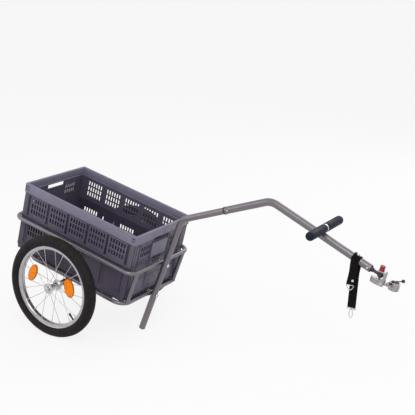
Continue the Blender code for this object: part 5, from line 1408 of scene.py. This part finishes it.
def make_lever(axis):
    stations = mm((-11, 2), (0.2, 2), (0.3, 4.2), (0.8, 4.4), (5.4, 4.4), (6, 4))
    hub = turned(axis, Z, stations, 28)
    start = axis + Vector((0, -0.001, 0.003))
    elbow = axis + Vector((0.007, -0.001, 0.013))
    end = axis + Vector((0.0377, -0.001, 0.0313))
    rod = sweep(rounded([start, elbow, end], [0.008], 8), Y, 0.0018, 20)
    way = (end - elbow).normalized()
    angles = [math.pi * (0.04 + 0.92 * i / 14) for i in range(15)]
    ball = [(-0.006 * math.cos(a), max(0.0006, 0.006 * math.sin(a))) for a in angles]
    knob = turned(end, way, ball, 28, Y)
    place("clamp_lever_arm", gathered([hub, rod, knob]), "lever", "lever", ["clamp_lever"], angle=35)


# Studio

def make_studio():
    scene = bpy.context.scene
    mesh = bpy.data.meshes.new("studio_floor")
    size = 30.0
    mesh.from_pydata([(-size, -size, 0), (size, -size, 0), (size, size, 0), (-size, size, 0)], [],
                     [(0, 1, 2, 3)])
    floor = bpy.data.objects.new("studio_floor", mesh)
    floor.location.z = -0.0005
    mesh.materials.append(floor_material())
    scene.collection.objects.link(floor)
    floor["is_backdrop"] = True
    world = bpy.data.worlds.new("studio")
    world.use_nodes = True
    scene.world = world
    graph = Graph(world)
    light = graph.tree.nodes["Background"]
    white = graph.add("ShaderNodeBackground")
    for node, strength in ((light, 0.55), (white, 1.0)):
        node.inputs["Color"].default_value = (1, 1, 1, 1)
        node.inputs["Strength"].default_value = strength
    graph.show_white(light.outputs["Background"], white.outputs["Background"], 1.0, "World Output")
    lamps = (
        ("key", (1.6, -2.6, 3.4), 2.4, 62.0),
        ("fill", (-2.8, -2.4, 1.8), 2.6, 22.0),
        ("back", (0.4, 3.2, 2.6), 2.6, 34.0),
    )
    for name, spot, size, power in lamps:
        lamp = bpy.data.lights.new(name, "AREA")
        lamp.shape = "DISK"
        lamp.size = size
        lamp.energy = power
        item = bpy.data.objects.new(name, lamp)
        item.location = spot
        aim = Vector((0, 0, 0.3)) - Vector(spot)
        item.rotation_euler = aim.to_track_quat("-Z", "Y").to_euler()
        scene.collection.objects.link(item)
    scene.view_settings.view_transform = "Standard"


# The photograph's camera, found from the wheel's circle and the crate's straight edges
CAMERA_LENS = 80.88
CAMERA_SPOT = Vector((1.84108, -2.8067, 1.71886))
CAMERA_WAY = Vector((-0.4189, 0.8269, -0.3751))
CAMERA_TOP = Vector((-0.3799, 0.2156, 0.8996))


def make_camera():
    way = CAMERA_WAY.normalized()
    top = (CAMERA_TOP - CAMERA_TOP.dot(way) * way).normalized()
    turn = Matrix((way.cross(top), top, -way)).transposed().to_4x4()
    turn.translation = CAMERA_SPOT
    data = bpy.data.cameras.new("photo_camera")
    data.lens = CAMERA_LENS
    data.sensor_width = 36
    camera = bpy.data.objects.new("photo_camera", data)
    bpy.context.scene.collection.objects.link(camera)
    camera.matrix_world = STANCE @ turn
    bpy.context.scene.camera = camera


make_camera()
make_studio()
make_rails()
make_floor_bars()
make_axle_tube()
make_leg_and_drawbar()
make_leg_bolts()
make_button()
make_handle()
make_crate()
make_wheel(-1, "right")
make_wheel(1, "left")
make_strap()
make_shank()
make_coupling()
make_clamp()

sizes = {"cad": CAD_BOX, "visual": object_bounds()}
{key: [list(corner) for corner in value] for key, value in sizes.items()}
